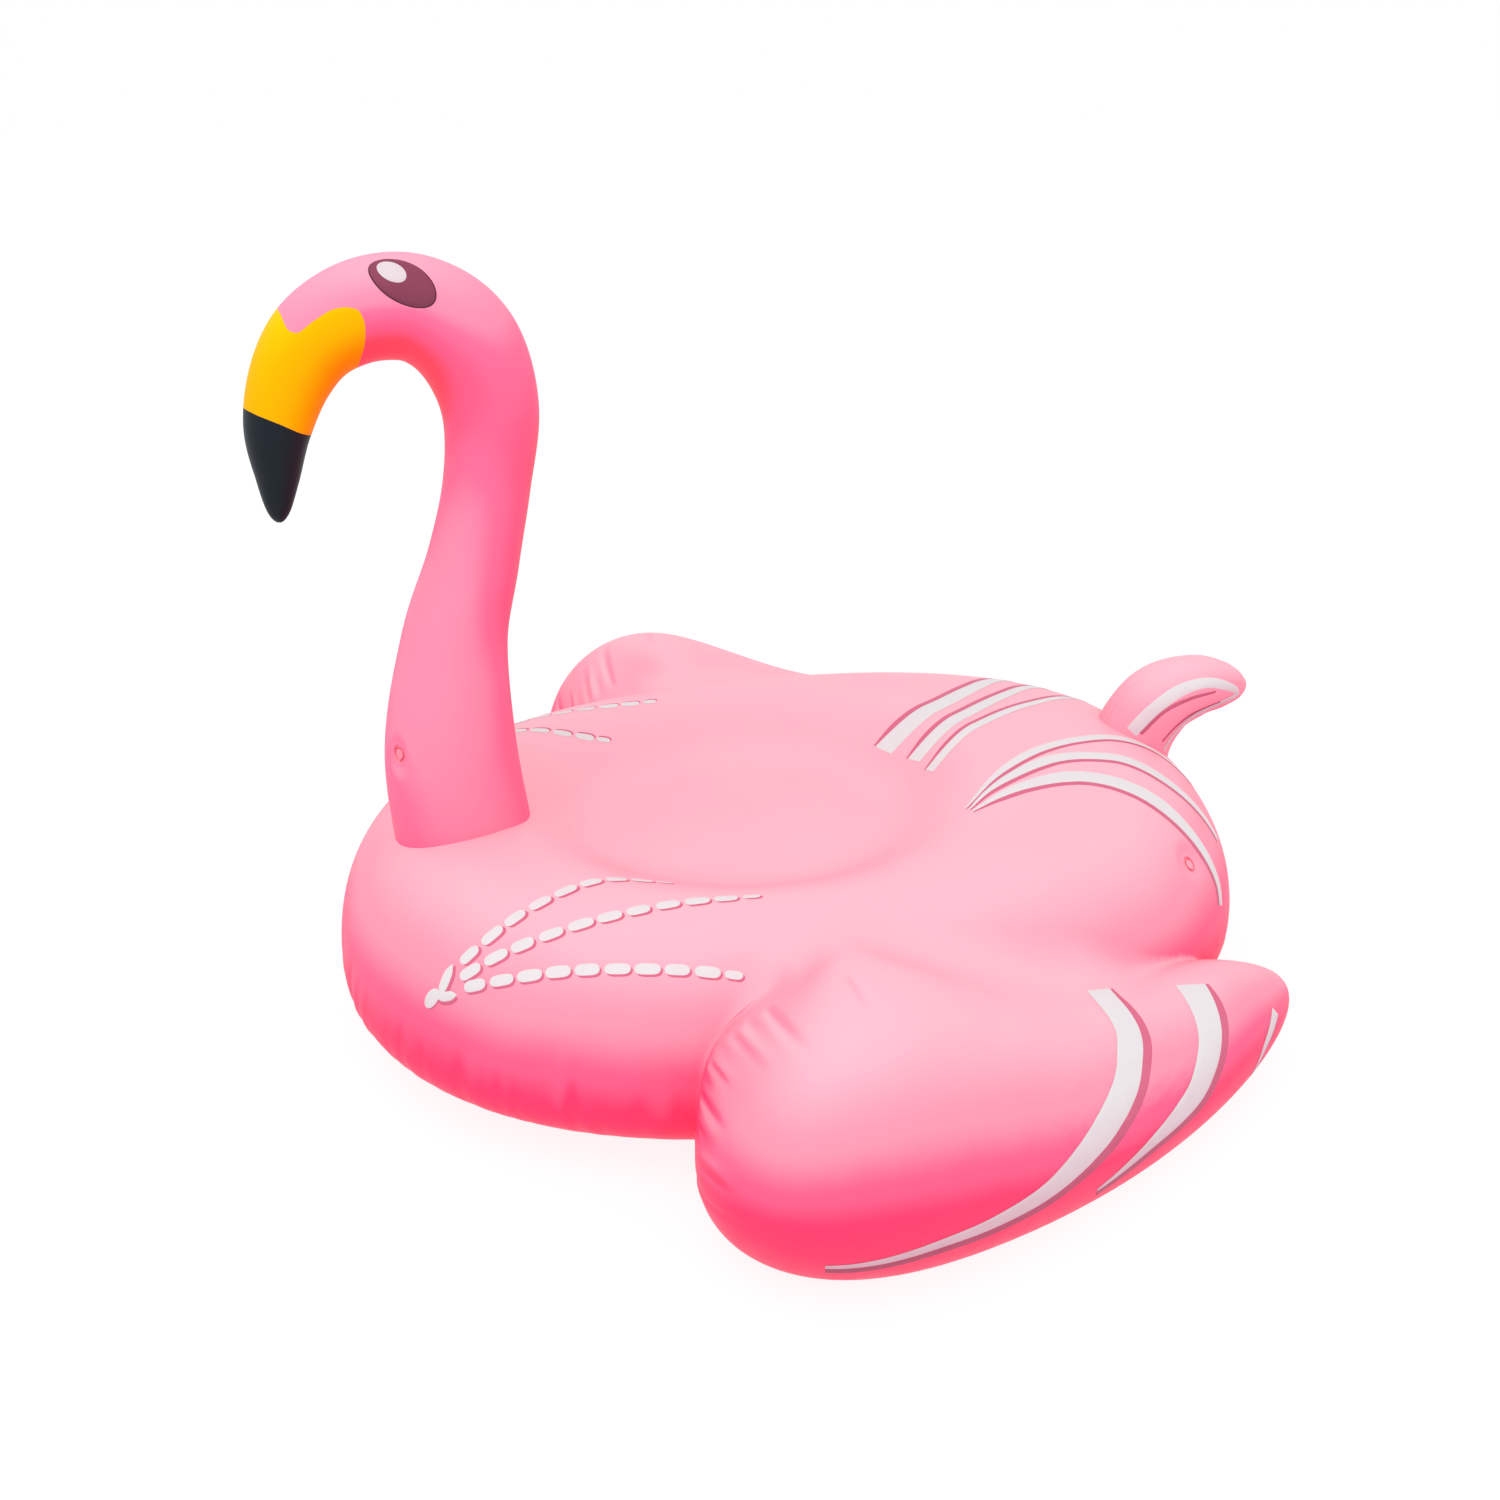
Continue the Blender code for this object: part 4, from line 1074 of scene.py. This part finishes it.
# Stripes: knots of the line, (share, width) of the white band along it, and the width of its dark
# edge, which lies to the right of the line, or to its left if negative.
STRIPE_SPACING = 0.005
STRIPE_GRAIN = 0.004
STRIPE_LEAST = 4
STRIPE_OVERLAP = 0.001
STRIPE_EDGE_IN = (-0.1, 0.15)
LEFT_REAR_STRIPES = (
    (
        ((0.155, 0.187, 0.278), (0.108, 0.245, 0.291), (0.06, 0.33, 0.298), (0.045, 0.417, 0.299),
         (0.063, 0.504, 0.282), (0.094, 0.56, 0.225)),
        ((0.0, 0.003), (0.35, 0.015), (0.7, 0.015), (1.0, 0.008)),
        0.006,
    ),
    (
        ((0.162, 0.189, 0.279), (0.13, 0.235, 0.289), (0.088, 0.34, 0.297), (0.104, 0.423, 0.297),
         (0.158, 0.489, 0.271), (0.196, 0.54, 0.2)),
        ((0.0, 0.003), (0.35, 0.02), (0.7, 0.02), (1.0, 0.012)),
        0.007,
    ),
    (
        ((0.17, 0.19, 0.281), (0.141, 0.275, 0.292), (0.14, 0.353, 0.295), (0.183, 0.414, 0.289),
         (0.234, 0.465, 0.252), (0.272, 0.498, 0.188), (0.29, 0.496, 0.16)),
        ((0.0, 0.004), (0.35, 0.027), (0.65, 0.027), (1.0, 0.012)),
        0.008,
    ),
)
RIGHT_REAR_STRIPES = (
    (
        ((-0.085, 0.164, 0.252), (-0.126, 0.256, 0.292), (-0.17, 0.33, 0.292), (-0.215, 0.41, 0.27),
         (-0.245, 0.47, 0.22)),
        ((0.0, 0.034), (0.5, 0.027), (1.0, 0.012)),
        -0.010,
    ),
    (
        ((-0.03, 0.189, 0.259), (-0.078, 0.278, 0.295), (-0.12, 0.35, 0.296), (-0.165, 0.44, 0.278),
         (-0.195, 0.505, 0.225)),
        ((0.0, 0.024), (0.5, 0.02), (1.0, 0.01)),
        -0.009,
    ),
    (
        ((0.012, 0.196, 0.261), (-0.039, 0.284, 0.297), (-0.078, 0.365, 0.298), (-0.103, 0.455, 0.294),
         (-0.135, 0.54, 0.235)),
        ((0.0, 0.016), (0.5, 0.014), (1.0, 0.008)),
        -0.007,
    ),
)
WING_STRIPES = (
    (
        ((0.459, 0.226, 0.194), (0.518, 0.232, 0.181), (0.549, 0.22, 0.167), (0.574, 0.203, 0.151),
         (0.601, 0.171, 0.132), (0.626, 0.127, 0.112), (0.645, 0.076, 0.093), (0.659, 0.012, 0.084),
         (0.669, -0.054, 0.08), (0.658, -0.165, 0.068)),
        ((0.0, 0.034), (0.35, 0.036), (0.7, 0.018), (1.0, 0.008)),
        -0.013,
    ),
    (
        ((0.452, 0.352, 0.172), (0.509, 0.348, 0.146), (0.533, 0.332, 0.122), (0.553, 0.309, 0.102),
         (0.572, 0.275, 0.089), (0.591, 0.234, 0.077), (0.611, 0.16, 0.05)),
        ((0.0, 0.04), (0.4, 0.036), (0.75, 0.018), (1.0, 0.006)),
        -0.013,
    ),
    (
        ((0.452, 0.48, 0.11), (0.466, 0.466, 0.095), (0.479, 0.45, 0.078), (0.486, 0.435, 0.045)),
        ((0.0, 0.02), (0.5, 0.016), (1.0, 0.004)),
        -0.005,
    ),
)
# Lines of the tail's print on the left side, and (share, width) along each.
TAIL_SPACING = 0.004
TAIL_WHITE = (
    (
        ((0.045, 0.485, 0.3), (0.047, 0.515, 0.332), (0.045, 0.555, 0.356), (0.042, 0.6, 0.362),
         (0.034, 0.65, 0.343), (0.029, 0.662, 0.328)),
        ((0.0, 0.02), (0.4, 0.019), (0.8, 0.014), (1.0, 0.008)),
    ),
    (
        ((0.029, 0.658, 0.331), (0.04, 0.62, 0.322), (0.05, 0.585, 0.31), (0.056, 0.557, 0.29),
         (0.06, 0.54, 0.266)),
        ((0.0, 0.009), (0.5, 0.012), (1.0, 0.006)),
    ),
)
TAIL_DARK = (
    (
        ((0.05, 0.498, 0.298), (0.053, 0.53, 0.33), (0.051, 0.57, 0.344), (0.044, 0.614, 0.347)),
        ((0.0, 0.005), (0.5, 0.006), (1.0, 0.003)),
    ),
    (
        ((0.058, 0.532, 0.284), (0.055, 0.556, 0.306), (0.046, 0.587, 0.321), (0.038, 0.628, 0.328)),
        ((0.0, 0.003), (0.5, 0.004), (1.0, 0.002)),
    ),
)


def dash_stops(rows):
    """Shares along a dash, closest together at its rounded ends."""
    return (1 - np.cos(np.linspace(0.0, math.pi, rows))) / 2


def dash_outline(rows):
    """Share of the full width along a dash with rounded ends."""
    place = np.abs(dash_stops(rows) * 2 - 1)
    return np.maximum(1 - place**DASH_BLUNTNESS, 0.0) ** 0.5


def add_dash(white, shadow, line, width, shift, mirror):
    """One white dash along a line with its shadow."""
    half = width * dash_outline(len(line))
    slip = mirror * SHADOW_SHIFT
    white.band(line, -half, half, DASH_COLUMNS)
    shadow.band(line + shift, -half + slip, half + slip, DASH_COLUMNS)


def add_dashes(white, shadow, mirror):
    """The three dashed lines on one side."""
    chance = np.random.default_rng(DASH_SEED)
    shift = np.array([0.0, SHADOW_BACK, 0.0])
    for knots, count in zip(DASH_LINES, DASHES):
        line = even_line(knots, DASH_SPACING, mirror)
        places = np.arange(len(line))
        pitch = (len(line) - 1) / (count - 1 + DASH_FILL)
        for number in range(count):
            last = number == count - 1
            span = pitch * DASH_FILL * (DASH_LAST if last else chance.uniform(*DASH_LENGTHS))
            stops = np.clip(number * pitch + span * dash_stops(DASH_ROWS), 0, len(line) - 1)
            dash = np.stack([np.interp(stops, places, line[:, axis]) for axis in range(3)], -1)
            width = DASH_WIDTH * (DASH_LAST if last else chance.uniform(*DASH_WIDTHS)) / 2
            add_dash(white, shadow, dash, width, shift, mirror)


def add_dash_start(white, shadow, mirror):
    """The drop and the forked dash from which the three lines spring."""
    flip = np.array([mirror, 1.0, 1.0])
    shift = np.array([0.0, SHADOW_BACK, -SHADOW_DOWN])
    white.oval(DROP * flip, DROP_SLANT * flip, *DROP_OVAL)
    shadow.oval(DROP * flip + shift, DROP_SLANT * flip, *DROP_OVAL)
    for start, end, width in FORK:
        line = even_line(np.array([start, end]) * flip, FORK_SPACING)
        add_dash(white, shadow, line, width, shift, mirror)


def add_stripe(white, shadow, stripe, mirror):
    """A white band with a dark edge on one side, both following the skin."""
    knots, widths, edge = stripe
    line = even_line(knots, STRIPE_SPACING, mirror)
    half = along_line(widths, len(line)) / 2
    white.band(line, -half, half, max(int(half.max() * 2 / STRIPE_GRAIN), STRIPE_LEAST))
    sign = math.copysign(1.0, edge) * mirror
    grow = smooth_step(np.linspace(0.0, 1.0, len(line)), *STRIPE_EDGE_IN)
    near = sign * (half - STRIPE_OVERLAP)
    far = sign * (half + abs(edge) * grow)
    shadow.band(line, near, far, STRIPE_LEAST)


def add_tail_print(white, shadow, mirror):
    """The white outline on one side of the tail with its dark inner lines."""
    for film, lines, columns in ((white, TAIL_WHITE, 6), (shadow, TAIL_DARK, 3)):
        for knots, widths in lines:
            line = even_line(knots, TAIL_SPACING, mirror)
            half = along_line(widths, len(line)) / 2
            film.band(line, -half, half, columns)


# Each eye is a tilted oval with a thin dark rim and a pale highlight: name, ink and lift of
# each film, its centre, and its half length, half width, rings and sides.
EYE_SLANT = (0.43, 0.72, -0.55)
EYE_FILMS = (
    ("eye_rim", "eye_rim", 0.0005, (0.0465, -0.4525, 0.9447), (0.0412, 0.0256, 10, 56)),
    ("eye", "eye", 0.0012, (0.0465, -0.4525, 0.9447), (0.0396, 0.0240, 10, 56)),
    ("eye_glint", "glint", 0.0018, (0.0400, -0.4625, 0.9525), (0.0185, 0.0125, 6, 40)),
)


def build_eye(side, mirror, skin, materials):
    flip = np.array([mirror, 1.0, 1.0])
    for name, ink_name, lift, centre, oval in EYE_FILMS:
        film = Print(f"{name}_{side}", skin, materials[ink_name], lift)
        film.oval(centre * flip, EYE_SLANT * flip, *oval)
        film.done()


def ink_pair(name, skin, materials, white_lift, shadow_lift):
    """Films of white ink and of its shadow, whose names differ by the word put into name."""
    white = Print(name.format("white"), skin, materials["white"], white_lift)
    return white, Print(name.format("shadow"), skin, materials["shadow"], shadow_lift)


def build_prints(skins, materials):
    """All the prints: those on both sides, the rear stripes and the tail's outline."""
    skin = skins["body"]
    rear = ink_pair("rear_stripes_{}", skin, materials, 0.0008, 0.0005)
    tail = ink_pair("tail_print_{}", skins["tail"], materials, 0.0007, 0.0010)
    films = [*rear, *tail]
    for stripe in LEFT_REAR_STRIPES + RIGHT_REAR_STRIPES:
        add_stripe(*rear, stripe, 1)
    for side, mirror in (("left", 1), ("right", -1)):
        dashes = ink_pair("dashes_{}_" + side, skin, materials, 0.0008, 0.0004)
        add_dashes(*dashes, mirror)
        add_dash_start(*dashes, mirror)
        stripes = ink_pair("wing_stripes_{}_" + side, skin, materials, 0.0008, 0.0005)
        for stripe in WING_STRIPES:
            add_stripe(*stripes, stripe, mirror)
        add_tail_print(*tail, mirror)
        films += [*dashes, *stripes]
        build_eye(side, mirror, skins["neck"], materials)
    for film in films:
        film.done()


# ---- stage


def build_stage():
    """A plain pale floor, plain soft studio light and the camera."""
    scene = bpy.context.scene
    scene.view_settings.view_transform = "Standard"
    shader = Shader("pale_floor")
    shader.set("Base Color", FLOOR_COLOUR)
    shader.set("Emission Color", WHITE)
    shader.set("Emission Strength", FLOOR_GLOW)
    shader.set("Roughness", shader.spread(shader.noise(*FLOOR_MOTTLE), *FLOOR_ROUGHNESS))
    shader.set("Specular IOR Level", FLOOR_GLOSS)
    square = ((-1, -1), (1, -1), (1, 1), (-1, 1))
    corners = [(x * FLOOR_REACH, y * FLOOR_REACH, -FLOOR_DROP) for x, y in square]
    mesh_object("floor", corners, ((0, 1, 2, 3),), shader.material)
    world = bpy.data.worlds.new("studio")
    scene.world = world
    world.use_nodes = True
    background = world.node_tree.nodes["Background"]
    background.inputs["Color"].default_value = WHITE
    background.inputs["Strength"].default_value = 1.0
    for name, place, size, power in LIGHTS:
        data = bpy.data.lights.new(name, "AREA")
        data.size = size
        data.energy = power
        light = bpy.data.objects.new(name, data)
        light.location = place
        light.rotation_euler = (Vector(place) - Vector(LIGHTS_AIM)).to_track_quat("Z", "Y").to_euler()
        scene.collection.objects.link(light)
    camera_data = bpy.data.cameras.new("camera")
    camera_data.lens = CAMERA_LENS
    camera = bpy.data.objects.new("camera", camera_data)
    scene.collection.objects.link(camera)
    scene.camera = camera
    camera.location = CAMERA_PLACE
    camera.rotation_euler = (math.pi / 2 - CAMERA_ELEVATION, 0.0, CAMERA_AZIMUTH)


# ---- build


def build():
    materials = build_materials()
    skins = build_neck(materials)
    skins["tail"] = build_tail(materials["tail"])
    skins["body"] = build_skin(materials["body"])
    skins["lip"] = build_body_lip(materials["body"])
    seat_valve(skins["neck"], Valve("neck"))
    seat_valve(skins["body"], Valve("body"))
    for skin in skins.values():
        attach(skin, "root")
    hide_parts("body_top_panel", "body_bottom_panel")
    for side in ("left", "right"):
        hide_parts(f"wing_{side}_top_panel", f"wing_{side}_bottom_panel")
        for part, node in (("neck", "neck"), ("beak", "beak"), ("tip", "beak_tip"), ("tail", "tail")):
            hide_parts(f"{node}_{side}_panel")
    build_prints(skins, materials)
    for name in frame["nodes"]:
        node = bpy.data.objects.get(name)
        if node and not node.hide_render:
            node.data.materials.clear()
            node.data.materials.append(materials["valve" if "valve" in name else "body"])


build()
build_stage()
